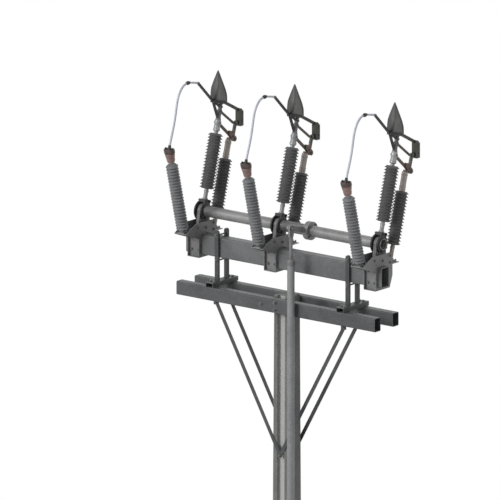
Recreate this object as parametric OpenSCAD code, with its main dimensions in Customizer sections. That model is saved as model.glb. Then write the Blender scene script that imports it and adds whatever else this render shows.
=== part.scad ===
// Three-phase air break switch on a concrete pole, with its crossarms, beam, shaft and operating rod.
// Millimetres, +Z up. The origin is the centre of the pole's foot at ground level, X runs along the crossarms
// and -Y is the front, where the fixed front insulators stand. The switch is drawn closed.

/* [Pole] */
// Height of the pole above the ground
pole_h = 9100; // [7000:50:11000]
// Width of the pole's top, along the crossarms
pole_top_w = 196; // [160:1:260]
// Depth of the pole's top, front to back
pole_top_d = 205; // [170:1:260]
// Growth of the pole's width and depth for each metre down
pole_taper = 8.5; // [0:0.5:14]
// Width of the recess in the pole's front and back
recess_w = 96; // [50:1:110]
// Depth of that recess
recess_depth = 43; // [15:1:55]
// Height above the ground where the recess starts
recess_from = 900; // [300:50:2000]

/* [Crossarms] */
// Length of a crossarm
arm_len = 2700; // [2300:10:3200]
// Height of a crossarm
arm_h = 150; // [110:1:190]
// Depth of a crossarm, front to back
arm_d = 104; // [80:1:130]
// Wall of a crossarm
arm_wall = 6; // [4:0.5:10]
// Outer corner radius of the hollow steel sections
tube_r = 14; // [6:1:20]
// From the pole's top down to the crossarms' centre line
arm_below_top = 100; // [90:5:300]

/* [Braces] */
// Width of a brace bar
brace_w = 42; // [30:1:60]
// Thickness of a brace bar
brace_t = 8; // [5:0.5:12]
// From the pole's centre out to a brace's upper bolt
brace_reach = 870; // [600:10:1100]
// From the crossarms' centre line down to the lower bolt
brace_drop = 1662; // [1000:10:2000]
// From a crossarm's underside down to a brace's upper bolt
lug_drop = 34; // [32:1:60]
// Thickness of the angle lug that holds a brace under its crossarm
lug_t = 6; // [4:0.5:10]
// Length of the angle lug along the crossarm
lug_len = 70; // [50:1:100]
// Foot of the angle lug, bolted under the crossarm
lug_foot = 48; // [30:1:60]

/* [Saddles and posts] */
// From the pole's centre out to a saddle
saddle_x = 890; // [700:10:1000]
// Length of a saddle, across both crossarms
saddle_len = 440; // [425:5:520]
// Height of a saddle channel
saddle_h = 52; // [40:1:80]
// Width of a saddle channel
saddle_w = 100; // [70:1:130]
// Wall of a saddle channel
saddle_wall = 7; // [4:0.5:10]
// Width of a post
post_w = 50; // [35:1:65]
// Thickness of a post
post_t = 30; // [8:1:36]
// How far the posts stand above the main beam
post_over = 80; // [50:5:120]

/* [Main beam] */
// Length of the main beam
beam_len = 2660; // [2640:10:3200]
// Height of the main beam
beam_h = 220; // [160:5:260]
// Depth of the main beam
beam_d = 130; // [100:1:150]
// Wall of the main beam
beam_wall = 8; // [5:0.5:12]
// Clear height between the crossarms and the main beam
beam_gap = 300; // [220:5:380]

/* [Phases] */
// Place of the left phase along the beam
left_x = -1200; // [-1250:5:-1000]
// Place of the middle phase
mid_x = -154; // [-260:1:0]
// Place of the right phase
right_x = 1200; // [1000:5:1250]

/* [Shaft] */
// Outer diameter of the shaft
shaft_d = 120; // [80:1:130]
// Wall of the shaft
shaft_wall = 6; // [4:0.5:10]
// Height of the shaft's axis above the beam's top
shaft_up = 227; // [190:1:280]
// Place of the shaft's axis behind the beam's centre
shaft_y = 64; // [0:1:80]
// How far the shaft reaches past the outer phases
shaft_over = 58; // [50:1:200]
// Running gap of the shaft in its bearings
bearing_gap = 0.5; // [0.3:0.1:1]

/* [Phase bases] */
// Width of a base
base_w = 160; // [140:2:180]
// Height of a base's front plate above the beam
base_h = 45; // [30:1:60]
// Wall of a base
base_wall = 8; // [5:0.5:12]
// Reach of a base to the front
base_front = 326; // [320:2:380]
// Reach of a base to the back
base_back = 304; // [302:2:380]
// Depth of the clamp legs on the beam's front and back
leg_d = 40; // [25:1:60]
// How far the clamp legs reach below the beam
leg_below = 34; // [25:1:60]
// Depth of the gusset under a base's front end
gusset_h = 45; // [20:5:180]
// Height of a base's cheeks beside the shaft
cheek_h = 130; // [100:5:150]
// Reach of the cheeks' top edge to the front
cheek_front = 160; // [100:5:200]
// Reach of the cheeks' top edge to the back
cheek_back = 190; // [150:5:240]
// Thickness of the bearing pedestal
bearing_t = 40; // [24:1:44]
// Width of the metal around the shaft in the pedestal
bearing_rim = 18; // [12:1:24]
// Width of the pedestal's foot
bearing_foot = 200; // [160:5:240]
// Height of an insulator's seat above the base
seat_h = 24; // [22:1:40]
// Width of an insulator's seat
seat_w = 92; // [80:1:104]

/* [Front insulators] */
// Place of the front seat, in front of the beam's centre
front_y = 274; // [260:2:276]
// Forward lean of the front insulators
front_lean = 14; // [5:0.1:18]
// Length of the part with sheds
front_body = 763; // [560:5:800]
// Diameter of the sheds
front_shed_d = 136; // [100:1:144]
// Count of the sheds
front_sheds = 22; // [10:1:24]
// Length of the foot fitting
front_foot = 27; // [20:1:60]
// Length of the upper stem
front_stem = 30; // [15:1:60]
// Height of the terminal's tapered body
cap_h = 105; // [80:1:160]
// Diameter of that body at its top
cap_d = 112; // [90:1:124]
// Diameter of that body at its foot
cap_foot_d = 84; // [60:1:90]
// Height of the clamp bar on the terminal
cap_bar_h = 44; // [30:1:60]
// Length of that clamp bar
cap_bar_len = 128; // [110:1:150]

/* [Moving and rear insulators] */
// Backward lean of the moving and rear insulators
lean = 15.2; // [5:0.1:18]
// From the shaft's axis up to the moving insulator's sheds
moving_up = 238; // [180:1:300]
// Length of the moving insulator's sheds
moving_body = 600; // [450:5:650]
// Diameter of the moving insulator's sheds
moving_shed_d = 162; // [120:1:176]
// Count of the moving insulator's sheds
moving_sheds = 18; // [8:1:20]
// Place of the rear seat, behind the beam's centre
rear_y = 250; // [244:1:256]
// From the rear seat up to the rear insulator's sheds
rear_foot = 155; // [80:1:180]
// Length of the rear insulator's sheds
rear_body = 575; // [450:5:600]
// Diameter of the rear insulator's sheds
rear_shed_d = 156; // [120:1:170]
// Count of the rear insulator's sheds
rear_sheds = 17; // [8:1:20]
// Length of the fitting above the moving insulator's sheds
moving_stem = 24; // [12:1:60]
// How far each shed stands out of the insulator's core
shed_reach = 19; // [14:1:30]
// Diameter of the metal stems
stem_d = 46; // [32:1:56]
// Diameter of a rear insulator's top fitting
rear_top_d = 66; // [46:1:80]
// Height of the flange on a stem's foot
stem_flange_h = 14; // [8:1:18]
// How far that flange stands out of its stem
stem_flange = 8; // [4:1:14]

/* [Rocker clamps] */
// Width of a rocker clamp along the shaft
clamp_w = 88; // [70:1:92]
// Thickness of a rocker clamp's side plates
clamp_t = 16; // [10:1:22]
// Outer radius of the clamp's left loop
clamp_r = 108; // [95:1:120]
// Outer radius of the clamp's right loop
clamp_right_r = 88; // [80:1:110]
// Reach of the clamp above the shaft's axis
clamp_up = 124; // [122:1:140]
// Height of the block in the clamp's head
clamp_block = 34; // [20:1:36]
// Width of the clamp's head
clamp_head = 96; // [80:1:130]

/* [Contacts and hoods] */
// From the shaft's axis up to the hood's base
hood_up = 1190; // [1150:1:1250]
// Height of an arc hood
hood_h = 320; // [250:1:400]
// Thickness of an arc hood
hood_t = 90; // [60:1:120]
// Reach of a hood's base in front of the insulator's axis
hood_front = 140; // [110:1:170]
// Reach of a hood's base behind the insulator's axis
hood_back = 50; // [40:1:80]
// How far a hood's front edge bulges past its base
hood_nose = 17; // [0:1:40]
// Height above its base where a hood starts to narrow to its tip
hood_shoulder = 140; // [80:1:220]
// Thickness of a hood's tip
hood_tip_t = 14; // [6:1:30]
// Depth of the recessed side panels
hood_panel = 5; // [2:0.5:10]
// Width of the slot that takes the arcing arm
hood_slot = 24; // [16:1:40]
// Thickness of the blade
blade_t = 12; // [8:1:18]
// Width of the blade bars
blade_w = 34; // [24:1:40]
// Reach of the lead's terminal bar in front of the insulator's axis
bar_reach = 454; // [380:2:500]
// Rise of that bar's end above the hood's base
bar_rise = 156; // [80:1:200]
// Thickness of a jaw plate
jaw_t = 10; // [6:1:14]
// Gap between the blade and each jaw plate
jaw_gap = 1; // [0.5:0.1:3]
// Depth of a line terminal block, front to back
line_block_w = 74; // [50:1:84]
// Height of a line terminal block
line_block_h = 196; // [160:1:220]
// Thickness of a line terminal block
line_block_t = 54; // [40:1:70]
// Spacing of the two bolt holes in a line terminal block
line_pitch = 90; // [60:1:100]
// Diameter of those holes
line_hole_d = 14; // [10:0.5:18]

/* [Crank and operating rod] */
// Place of the crank along the shaft
crank_x = 232; // [100:1:400]
// Length of the crank
crank_len = 342; // [338:1:380]
// Rise of the crank above level when the switch is closed
crank_rise = 15; // [5:1:25]
// Thickness of the crank arm
crank_t = 16; // [10:1:24]
// Width of the hub collar along the shaft
hub_w = 60; // [40:1:90]
// Width of the metal around the shaft in the hub
hub_rim = 40; // [16:1:50]
// Outer diameter of the operating rod
rod_d = 80; // [50:1:84]
// Wall of the operating rod
rod_wall = 4; // [3:0.5:8]
// Length of the slim neck from the pipe's top to the crank pin
neck_len = 360; // [250:5:420]
// Diameter of that neck
neck_d = 38; // [28:1:44]
// Diameter of the crank pin
pin_d = 24; // [16:1:30]
// Running gap around the crank pin
pin_gap = 0.4; // [0.2:0.1:1]
// Thickness of the rod's eye
eye_t = 22; // [14:1:30]
// Height of the rod's grip above the ground when the switch is closed
grip_z = 1300; // [900:10:1600]
// Length of the grip
grip_len = 340; // [200:5:420]
// Diameter of the grip
grip_d = 32; // [24:1:40]
// Height of the lower rod guide
guide_low = 2500; // [2000:50:3500]
// Height of the upper rod guide
guide_high = 5500; // [4500:50:6500]
// Height of a rod guide's plate
guide_h = 60; // [40:1:100]
// Wall of a rod guide
guide_wall = 10; // [6:1:16]
// Free room around the rod in its guides
guide_gap = 6; // [5.5:0.5:12]

/* [Leads] */
// Diameter of the flexible leads
lead_d = 24; // [14:1:28]

/* [Hidden] */
$fn = 64;
eps = 1;
colour_concrete = "#b9b8b2";
colour_zinc = "#8d9092";
colour_stem = "#c3c6c8";
colour_silicone = "#4a4e52";
colour_front_silicone = "#7d8287";
colour_black = "#202124";
colour_copper = "#8a5a3a";
colour_cap = "#7b4a3d";

// Heights of the levels that everything hangs on
arm_z = pole_h - arm_below_top;
arm_top = arm_z + arm_h / 2;
arm_bottom = arm_z - arm_h / 2;
beam_bottom = arm_top + beam_gap;
beam_top = beam_bottom + beam_h;
base_top = beam_top + base_h;
shaft_z = beam_top + shaft_up;
saddle_top = arm_top + saddle_h;
apex_z = arm_z - brace_drop;

// The pole's width and depth at a height
function pole_w(z) = pole_top_w + pole_taper * (pole_h - z) / 1000;
function pole_d(z) = pole_top_d + pole_taper * (pole_h - z) / 1000;
arm_y = pole_d(arm_bottom) / 2 + arm_d / 2;

// Outlines in the plane of the moving insulator: t runs backward from its axis, s runs up it from the shaft
rear_t = (rear_y - shaft_y) * cos(lean) + shaft_up * sin(lean);
rear_seat_s = (rear_y - shaft_y) * sin(lean) - shaft_up * cos(lean) + seat_h;
rear_top_s = rear_seat_s + rear_foot + rear_body;
moving_top_s = moving_up + moving_body + moving_stem;
hood_outline = [
    [-hood_front, hood_up],
    [-hood_front - hood_nose, hood_up + hood_h * 0.33],
    [-hood_front - hood_nose * 0.7, hood_up + hood_h * 0.67],
    [-hood_front, hood_up + hood_h],
    [-hood_front * 0.66, hood_up + hood_h * 0.78],
    [-hood_back * 0.5, hood_up + hood_h * 0.46],
    [hood_back * 0.6, hood_up + hood_h * 0.23],
    [hood_back, hood_up]
];
hood_middle = [-hood_front * 0.58, hood_up + hood_h * 0.36];
bar_end = [-bar_reach, hood_up + bar_rise];
bar_root = [-hood_front, hood_up - blade_w / 2];
moving_head_h = 126;
upper_blade = [[0, hood_up - 106], [rear_t + 26, hood_up - 213]];
lower_blade = [[0, moving_top_s + moving_head_h * 0.75], [rear_t, rear_top_s + 258]];
jaw_s = rear_top_s + 210;
jaw_w = 58;
jaw_foot_h = 20;
riser_t = 24;
riser_w = 34;
arcing_w = 32;
arcing_t = 20;
riser_top = [rear_t + 68, hood_up - 205];
line_block_at = [rear_t + 124, hood_up - 142];

// Places worked out for the crank and the rod
crank_side = crank_x + crank_t;
side_gap = 5;
rod_x = crank_side + side_gap + eye_t / 2;
pin_y = shaft_y - crank_len * cos(crank_rise);
pin_z = shaft_z + crank_len * sin(crank_rise);
eye_r = 34;
eye_len = 90;
open_swing = 35;
rod_back = crank_len * (cos(crank_rise) - cos(open_swing - crank_rise));
rod_forward = crank_len * (1 - cos(crank_rise));

// Moves its children to a phase's shaft axis
module at_shaft(x) {
    translate([x, shaft_y, shaft_z]) children();
}

// Moves its children into the plane of a closed moving insulator: their Y is t and their Z is s
module at_moving(x) {
    at_shaft(x) rotate([-lean, 0, 0]) children();
}

// Moves its children to the front seat, with their Z up the front insulator
module at_front(x) {
    translate([x, -front_y, base_top]) rotate([front_lean, 0, 0]) translate([0, 0, seat_h]) children();
}

// Thickens an outline of (y, z) along X
module plate_x(t) {
    rotate([90, 0, 90]) linear_extrude(t, center = true) children();
}

// A straight bar between two points of an outline, with round ends
module bar_2d(from, to, w) {
    way = to - from;
    translate(from) rotate(atan2(way.y, way.x)) {
        translate([0, -w / 2]) square([norm(way), w]);
        circle(d = w);
        translate([norm(way), 0]) circle(d = w);
    }
}

// A rectangle with round corners
module round_rect_2d(w, h, r) {
    square([w - 2 * r, h], center = true);
    square([w, h - 2 * r], center = true);
    for (x = [-1, 1], y = [-1, 1])
        translate([x * (w / 2 - r), y * (h / 2 - r)]) circle(r);
}

// A hollow steel section along X, open at both ends
module hollow_section(length, d, h, wall, r) {
    plate_x(length) difference() {
        round_rect_2d(d, h, r);
        round_rect_2d(d - 2 * wall, h - 2 * wall, r - wall / 2);
    }
}

// A prestressed concrete pole of I section, tapering to its top
module pole() {
    foot_w = pole_w(0);
    foot_d = pole_d(0);
    color(colour_concrete) difference() {
        intersection() {
            rotate([90, 0, 0]) linear_extrude(foot_d + 2 * eps, center = true)
                polygon([[-foot_w / 2, 0], [foot_w / 2, 0], [pole_top_w / 2, pole_h], [-pole_top_w / 2, pole_h]]);
            plate_x(foot_w + 2 * eps)
                polygon([[-foot_d / 2, 0], [foot_d / 2, 0], [pole_top_d / 2, pole_h], [-pole_top_d / 2, pole_h]]);
        }
        for (side = [0, 1]) mirror([0, side, 0]) plate_x(recess_w) polygon([
            [-pole_d(recess_from) / 2 - eps, recess_from],
            [-pole_d(recess_from) / 2 + recess_depth, recess_from + recess_depth],
            [-pole_top_d / 2 + recess_depth, pole_h + eps],
            [-foot_d / 2 - eps, pole_h + eps]
        ]);
    }
}

module crossarm(side) {
    color(colour_zinc) translate([0, side * arm_y, arm_z])
        hollow_section(arm_len, arm_d, arm_h, arm_wall, tube_r);
}

// A flat brace from under a crossarm to the pole's face. The second bar of a pair lies on the first
module brace(side, layer) {
    face = pole_d(apex_z) / 2 + layer * brace_t;
    top = [brace_reach, arm_bottom - lug_drop];
    color(colour_zinc) {
        translate([0, -face, 0]) rotate([90, 0, 0]) linear_extrude(brace_t)
            bar_2d([0, apex_z], [side * top.x, top.y], brace_w);
        translate([side * top.x - lug_len / 2, -face - brace_t - lug_t, top.y - brace_w / 2])
            cube([lug_len, lug_t, arm_bottom - top.y + brace_w / 2]);
        translate([side * top.x - lug_len / 2, -face - brace_t - lug_foot, arm_bottom - lug_t])
            cube([lug_len, lug_foot, lug_t]);
    }
}

// A channel with its back up, laid across both crossarms
module saddle(side) {
    color(colour_zinc) translate([side * saddle_x, 0, arm_top]) difference() {
        translate([-saddle_w / 2, -saddle_len / 2, 0]) cube([saddle_w, saddle_len, saddle_h]);
        translate([-saddle_w / 2 + saddle_wall, -saddle_len / 2 - eps, -eps])
            cube([saddle_w - 2 * saddle_wall, saddle_len + 2 * eps, saddle_h - saddle_wall + eps]);
    }
}

// Two flat posts that stand on a saddle and grip the main beam between them
module posts(side) {
    tall = beam_top + post_over - saddle_top;
    color(colour_zinc) for (face = [-1, 1])
        translate([side * saddle_x, face * (beam_d + post_t) / 2, saddle_top]) rotate([90, 0, 0])
            linear_extrude(post_t, center = true) {
                translate([-post_w / 2, 0]) square([post_w, tall - post_w / 2]);
                translate([0, tall - post_w / 2]) circle(d = post_w);
            }
}

module main_beam() {
    color(colour_zinc) translate([0, 0, (beam_bottom + beam_top) / 2])
        hollow_section(beam_len, beam_d, beam_h, beam_wall, tube_r);
}

// One upright clamp leg: a channel whose web lies on the beam's front
module clamp_leg() {
    tall = beam_h + leg_below;
    translate([-base_w / 2, -beam_d / 2 - leg_d, -tall]) difference() {
        cube([base_w, leg_d, tall]);
        translate([base_wall, -eps, -eps]) cube([base_w - 2 * base_wall, leg_d - base_wall + eps, tall + 2 * eps]);
    }
}

// A pedestal that stands on the base and carries the shaft
module bearing_pedestal() {
    rim_r = shaft_d / 2 + bearing_gap + bearing_rim;
    plate_x(bearing_t) difference() {
        union() {
            polygon([
                [shaft_y - bearing_foot / 2, base_h], [shaft_y + bearing_foot / 2, base_h],
                [shaft_y + rim_r, shaft_up], [shaft_y - rim_r, shaft_up]
            ]);
            translate([shaft_y, shaft_up]) circle(rim_r);
        }
        translate([shaft_y, shaft_up]) circle(shaft_d / 2 + bearing_gap);
    }
}

// A wedge on a base's plate at a height, whose top is square to a leaning insulator
module seat(y, z, turn) {
    intersection() {
        translate([0, y, z]) rotate([turn, 0, 0]) translate([-seat_w / 2, -seat_w / 2, -seat_w])
            cube([seat_w, seat_w, seat_w + seat_h]);
        translate([-seat_w, y - seat_w, z - base_wall / 2]) cube([2 * seat_w, 2 * seat_w, 2 * seat_w]);
    }
}

// Outline of a base's side cheek: from beside the shaft down round the beam, and out to the front insulator
module cheek_2d() {
    end_h = base_h - 1.5 * base_wall;
    front = beam_d / 2 + leg_d;
    low = beam_h + leg_below;
    difference() {
        polygon([
            [-base_front, base_h], [-cheek_front, cheek_h], [cheek_back, cheek_h], [cheek_back, -low / 2],
            [cheek_back * 0.75, -low], [-front, -low], [-front, -gusset_h], [-base_front, end_h]
        ]);
        translate([-beam_d / 2, -beam_h]) square([beam_d, beam_h]);
    }
}

// A phase's base: two cheeks clamped to the beam, a plate at the front and one at the back that carry the
// insulators, and a pedestal for the shaft
module phase_base(x) {
    color(colour_zinc) translate([x, 0, beam_top]) {
        translate([-base_w / 2, -base_front, base_h - base_wall])
            cube([base_w, base_front + shaft_y + bearing_foot / 2, base_wall]);
        translate([-base_w / 2, beam_d / 2, -base_wall])
            cube([base_w, base_back - beam_d / 2, base_wall]);
        for (side = [-1, 1]) translate([side * (base_w - base_wall) / 2, 0, 0]) plate_x(base_wall) cheek_2d();
        for (side = [0, 1]) mirror([0, side, 0]) clamp_leg();
        translate([-base_w / 2, -beam_d / 2 - leg_d, -beam_h - leg_below])
            cube([base_w, beam_d + 2 * leg_d, base_wall]);
        bearing_pedestal();
        seat(-front_y, base_h, front_lean);
        seat(rear_y, 0, -lean);
    }
}

// Outline of a shed insulator from its foot to its stem's top: each shed slopes on top and is flat below
function shed_outline(foot, body, top, shed_d, count, top_d) =
    let (
        pitch = body / count,
        core_r = shed_d / 2 - shed_reach,
        stem_r = stem_d / 2,
        flange_r = stem_r + stem_flange
    )
    concat(
        [[0, 0], [flange_r, 0], [flange_r, stem_flange_h], [stem_r, stem_flange_h], [stem_r, foot]],
        [for (i = [0:count - 1]) each [
            [core_r, foot + pitch * i], [core_r, foot + pitch * (i + 0.35)],
            [shed_d / 2, foot + pitch * (i + 0.25)], [shed_d / 2, foot + pitch * (i + 0.4)],
            [core_r, foot + pitch * (i + 0.8)]
        ]],
        [[core_r, foot + body], [top_d / 2, foot + body], [top_d / 2, foot + body + top], [0, foot + body + top]]
    );

module shed_insulator(foot, body, top, shed_d, count, top_d = stem_d) {
    rotate_extrude() polygon(shed_outline(foot, body, top, shed_d, count, top_d));
}

module front_insulator(x) {
    color(colour_front_silicone) at_front(x)
        shed_insulator(front_foot, front_body, front_stem, front_shed_d, front_sheds);
}

module rear_insulator(x) {
    color(colour_silicone) at_moving(x) translate([0, rear_t, rear_seat_s])
        shed_insulator(rear_foot, rear_body, jaw_s - rear_top_s, rear_shed_d, rear_sheds, rear_top_d);
}

module moving_insulator(x) {
    color(colour_silicone) at_moving(x) translate([0, 0, clamp_up])
        shed_insulator(moving_up - clamp_up, moving_body, moving_stem, moving_shed_d, moving_sheds);
}

// The tapered terminal on a front insulator, with the clamp bar that holds the lead
module front_terminal(x) {
    cap_low = front_foot + front_body + front_stem;
    color(colour_cap) at_front(x) translate([0, 0, cap_low]) {
        cylinder(h = cap_h, d1 = cap_foot_d, d2 = cap_d);
        translate([0, 0, cap_h]) linear_extrude(cap_bar_h) {
            square([cap_bar_len - cap_foot_d, cap_foot_d], center = true);
            for (side = [-1, 1]) translate([side * (cap_bar_len - cap_foot_d) / 2, 0]) circle(d = cap_foot_d);
        }
    }
}

// Two jaw plates on the rear insulator, the riser, the line terminal block and the arcing arm
module rear_contact(x) {
    jaw_x = blade_t / 2 + jaw_gap + jaw_t / 2;
    color(colour_copper) at_moving(x) difference() {
        union() {
            translate([-jaw_x, rear_t - stem_d / 2, jaw_s]) cube([2 * jaw_x, stem_d + 2 * jaw_t, jaw_foot_h]);
            for (side = [-1, 1]) translate([side * jaw_x, 0, 0]) plate_x(jaw_t)
                bar_2d([rear_t + 90, jaw_s + 14], [rear_t + 4, jaw_s + 66], jaw_w);
            plate_x(riser_t) {
                bar_2d([rear_t + 64, jaw_s + 44], riser_top, riser_w);
                bar_2d(riser_top, line_block_at - [0, line_block_h / 4], riser_w);
            }
            plate_x(arcing_t)
                bar_2d(line_block_at + [0, line_block_h / 3], [hood_back + 20, hood_up - 12], arcing_w);
            at_line_block() plate_x(line_block_t) line_block_2d();
        }
        at_line_block() plate_x(2 * line_block_t) for (side = [-1, 1])
            translate([line_block_w / 8, side * line_pitch / 2]) circle(d = line_hole_d);
    }
}

// Moves its children to the line terminal block, upright again
module at_line_block() {
    translate([0, line_block_at.x, line_block_at.y]) rotate([lean, 0, 0]) children();
}

// Outline of the block for the line's lug, cut away at its top and foot
module line_block_2d() {
    w = line_block_w / 2;
    h = line_block_h / 2;
    cut = w / 2;
    polygon([[-w, -h + cut], [-w + cut, -h], [w, -h], [w, h - 2 * cut], [0, h], [-w, h]]);
}

// A tube along the shaft, open at both ends
module shaft() {
    length = right_x - left_x + 2 * shaft_over;
    color(colour_stem) translate([left_x - shaft_over, shaft_y, shaft_z]) rotate([0, 90, 0]) difference() {
        cylinder(h = length, d = shaft_d);
        translate([0, 0, -eps]) cylinder(h = length + 2 * eps, d = shaft_d - 2 * shaft_wall);
    }
}

// Two loop plates either side of the bearing, and the block that carries the moving insulator
module rocker_clamp(x) {
    color(colour_black) at_moving(x) {
        for (side = [-1, 1]) translate([side * (clamp_w - clamp_t) / 2, 0, 0]) plate_x(clamp_t) difference() {
            union() {
                circle(side < 0 ? clamp_r : clamp_right_r);
                translate([-clamp_head / 2, 0]) square([clamp_head, clamp_up]);
            }
            circle(d = shaft_d + 2 * bearing_gap);
        }
        translate([-clamp_w / 2, -clamp_head / 2, clamp_up - clamp_block]) cube([clamp_w, clamp_head, clamp_block]);
    }
}

// The head on the moving insulator, its strut and stem to the hood, the lead's bar and the two blades
module moving_contact(x) {
    color(colour_stem) at_moving(x) {
        translate([0, 0, moving_top_s]) cylinder(h = moving_head_h, d = stem_d + 24);
        translate([0, 0, moving_top_s]) cylinder(h = hood_up - moving_top_s, d = stem_d);
        plate_x(blade_t * 2) {
            bar_2d([0, moving_top_s + moving_head_h], bar_root, blade_w * 0.7);
            bar_2d(bar_root, bar_end, blade_w * 0.7);
            bar_2d(bar_root, [0, hood_up - 62], blade_w * 0.7);
        }
        plate_x(blade_t) {
            bar_2d(upper_blade[0], upper_blade[1], blade_w * 0.8);
            bar_2d(lower_blade[0], lower_blade[1], blade_w);
        }
    }
}

// A leaf-shaped arc hood with recessed sides and a slot in its base
module arc_hood(x) {
    color(colour_black) at_moving(x) difference() {
        intersection() {
            plate_x(hood_t) polygon(hood_outline);
            rotate([90, 0, 0]) linear_extrude(4 * hood_front, center = true) polygon([
                [-hood_t / 2, hood_up], [hood_t / 2, hood_up], [hood_t / 2, hood_up + hood_shoulder],
                [hood_tip_t / 2, hood_up + hood_h], [-hood_tip_t / 2, hood_up + hood_h],
                [-hood_t / 2, hood_up + hood_shoulder]
            ]);
        }
        for (side = [-1, 1]) translate([side * hood_t / 2, 0, 0]) plate_x(2 * hood_panel)
            translate(hood_middle) scale(0.74) translate(-hood_middle) polygon(hood_outline);
        translate([-hood_slot / 2, stem_d / 2 + 6, hood_up - eps]) cube([hood_slot, hood_back, 70]);
    }
}

// A hub on the shaft, an arm and the pin that carries the operating rod
module crank() {
    hub_r = shaft_d / 2 + hub_rim;
    color(colour_zinc) difference() {
        at_shaft(crank_x) {
            rotate([0, 90, 0]) cylinder(h = hub_w, r = hub_r);
            rotate([-crank_rise, 0, 0]) translate([crank_t / 2, 0, 0]) plate_x(crank_t) {
                bar_2d([0, 0], [-crank_len, 0], 64);
            }
            rotate([-crank_rise, 0, 0]) translate([0, -crank_len, 0]) rotate([0, 90, 0])
                cylinder(h = crank_t + side_gap + eye_t + 12, d = pin_d);
        }
        at_shaft(crank_x - eps) rotate([0, 90, 0])
            cylinder(h = hub_w + 2 * eps, d = shaft_d + 2 * bearing_gap);
    }
}

// The pipe that works the switch from the ground, with a neck and an eye on the crank pin and a cross grip
module operating_rod() {
    low = grip_z - 60;
    pipe_top = pin_z - neck_len;
    color(colour_zinc) difference() {
        translate([rod_x, pin_y, 0]) {
            translate([0, 0, pin_z]) plate_x(eye_t) {
                circle(eye_r);
                translate([-eye_r, -eye_len]) square([2 * eye_r, eye_len]);
            }
            translate([0, 0, pipe_top - eps]) cylinder(h = neck_len - eye_len + eye_r / 2, d = neck_d);
            difference() {
                translate([0, 0, low]) cylinder(h = pipe_top - low, d = rod_d);
                translate([0, 0, low - eps]) cylinder(h = pipe_top - low - neck_d + eps, d = rod_d - 2 * rod_wall);
            }
            translate([0, 0, grip_z]) rotate([0, 90, 0]) cylinder(h = grip_len, d = grip_d, center = true);
        }
        translate([rod_x, pin_y, pin_z]) rotate([0, 90, 0])
            cylinder(h = eye_t + 2 * eps, d = pin_d + 2 * pin_gap, center = true);
    }
}

// A plate on the pole's front with a slotted eye around the operating rod
module rod_guide(z) {
    room_x = rod_d + 2 * guide_gap;
    room_back = rod_d / 2 + guide_gap + rod_back;
    room_front = rod_d / 2 + guide_gap + rod_forward;
    face = pole_d(z - guide_h / 2) / 2;
    left = -pole_w(z) / 2;
    right = rod_x + room_x / 2 + guide_wall;
    translate([0, 0, z - guide_h / 2]) {
        translate([left, -face - guide_wall, 0])
            cube([right - left, guide_wall, guide_h]);
        difference() {
            translate([rod_x - room_x / 2 - guide_wall, pin_y - room_front - guide_wall, 0])
                cube([room_x + 2 * guide_wall, -face - pin_y + room_front + guide_wall, guide_h]);
            translate([rod_x - room_x / 2, pin_y - room_front, -eps])
                cube([room_x, room_front + room_back, guide_h + 2 * eps]);
            translate([rod_x - room_x / 2, pin_y + room_back + guide_wall, -eps])
                cube([room_x, -face - pin_y - room_back - 2 * guide_wall, guide_h + 2 * eps]);
        }
    }
}

module rod_guides() {
    color(colour_zinc) for (z = [guide_low, guide_high]) rod_guide(z);
}

// The route of a lead from the front terminal to the moving contact's bar, as (y, z) from the shaft
lead_route = [
    [-575, 768], [-568, 810], [-553, 860], [-528, 930], [-496, 1025], [-468, 1130], [-445, 1240],
    [-420, 1320], [-380, 1385], [-325, 1432], [-256, 1448], [-180, 1439], [-97.5, 1420.5]
];

// A point on the smooth curve through the route, for a place counted in route points
function route_point(i) = lead_route[max(0, min(len(lead_route) - 1, i))];
function curve(a, b, c, d, f) = (2 * b + (c - a) * f + (2 * a - 5 * b + 4 * c - d) * f * f
    + (3 * b - a - 3 * c + d) * f * f * f) / 2;
function on_lead(u) = let (i = floor(u))
    curve(route_point(i - 1), route_point(i), route_point(i + 1), route_point(i + 2), u - i);

module lead(x) {
    sides = 8;
    steps = 22;
    last = len(lead_route) - 1;
    rings = [for (k = [0:steps]) let (
        u = last * k / steps,
        p = on_lead(u),
        way = on_lead(min(last, u + 0.1)) - on_lead(max(0, u - 0.1)),
        side = [-way.y, way.x] / norm(way)
    ) [for (j = [0:sides - 1]) let (a = 360 * j / sides)
        [lead_d / 2 * sin(a), p.x + lead_d / 2 * cos(a) * side.x, p.y + lead_d / 2 * cos(a) * side.y]]];
    color(colour_stem) at_shaft(x) polyhedron(
        points = [for (ring = rings) each ring],
        faces = concat(
            [[for (j = [0:sides - 1]) j]],
            [for (k = [0:steps - 1], j = [0:sides - 1])
                let (a = k * sides + j, b = k * sides + (j + 1) % sides) [a, a + sides, b + sides, b]],
            [[for (j = [sides - 1:-1:0]) steps * sides + j]]
        )
    );
}

pole();
crossarm(-1);  // front_crossarm
crossarm(1);  // back_crossarm
brace(-1, 0);  // brace_front_left
brace(1, 1);  // brace_front_right
mirror([0, 1, 0]) brace(-1, 0);  // brace_back_left
mirror([0, 1, 0]) brace(1, 1);  // brace_back_right
saddle(-1);  // saddle_left
saddle(1);  // saddle_right
posts(-1);  // posts_left
posts(1);  // posts_right
main_beam();
phase_base(left_x);  // base_left
phase_base(mid_x);  // base_middle
phase_base(right_x);  // base_right
front_insulator(left_x);  // front_insulator_left
front_insulator(mid_x);  // front_insulator_middle
front_insulator(right_x);  // front_insulator_right
rear_insulator(left_x);  // rear_insulator_left
rear_insulator(mid_x);  // rear_insulator_middle
rear_insulator(right_x);  // rear_insulator_right
front_terminal(left_x);  // front_terminal_left
front_terminal(mid_x);  // front_terminal_middle
front_terminal(right_x);  // front_terminal_right
rear_contact(left_x);  // rear_contact_left
rear_contact(mid_x);  // rear_contact_middle
rear_contact(right_x);  // rear_contact_right
rod_guides();
shaft();
crank();
rocker_clamp(left_x);  // rocker_clamp_left
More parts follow.
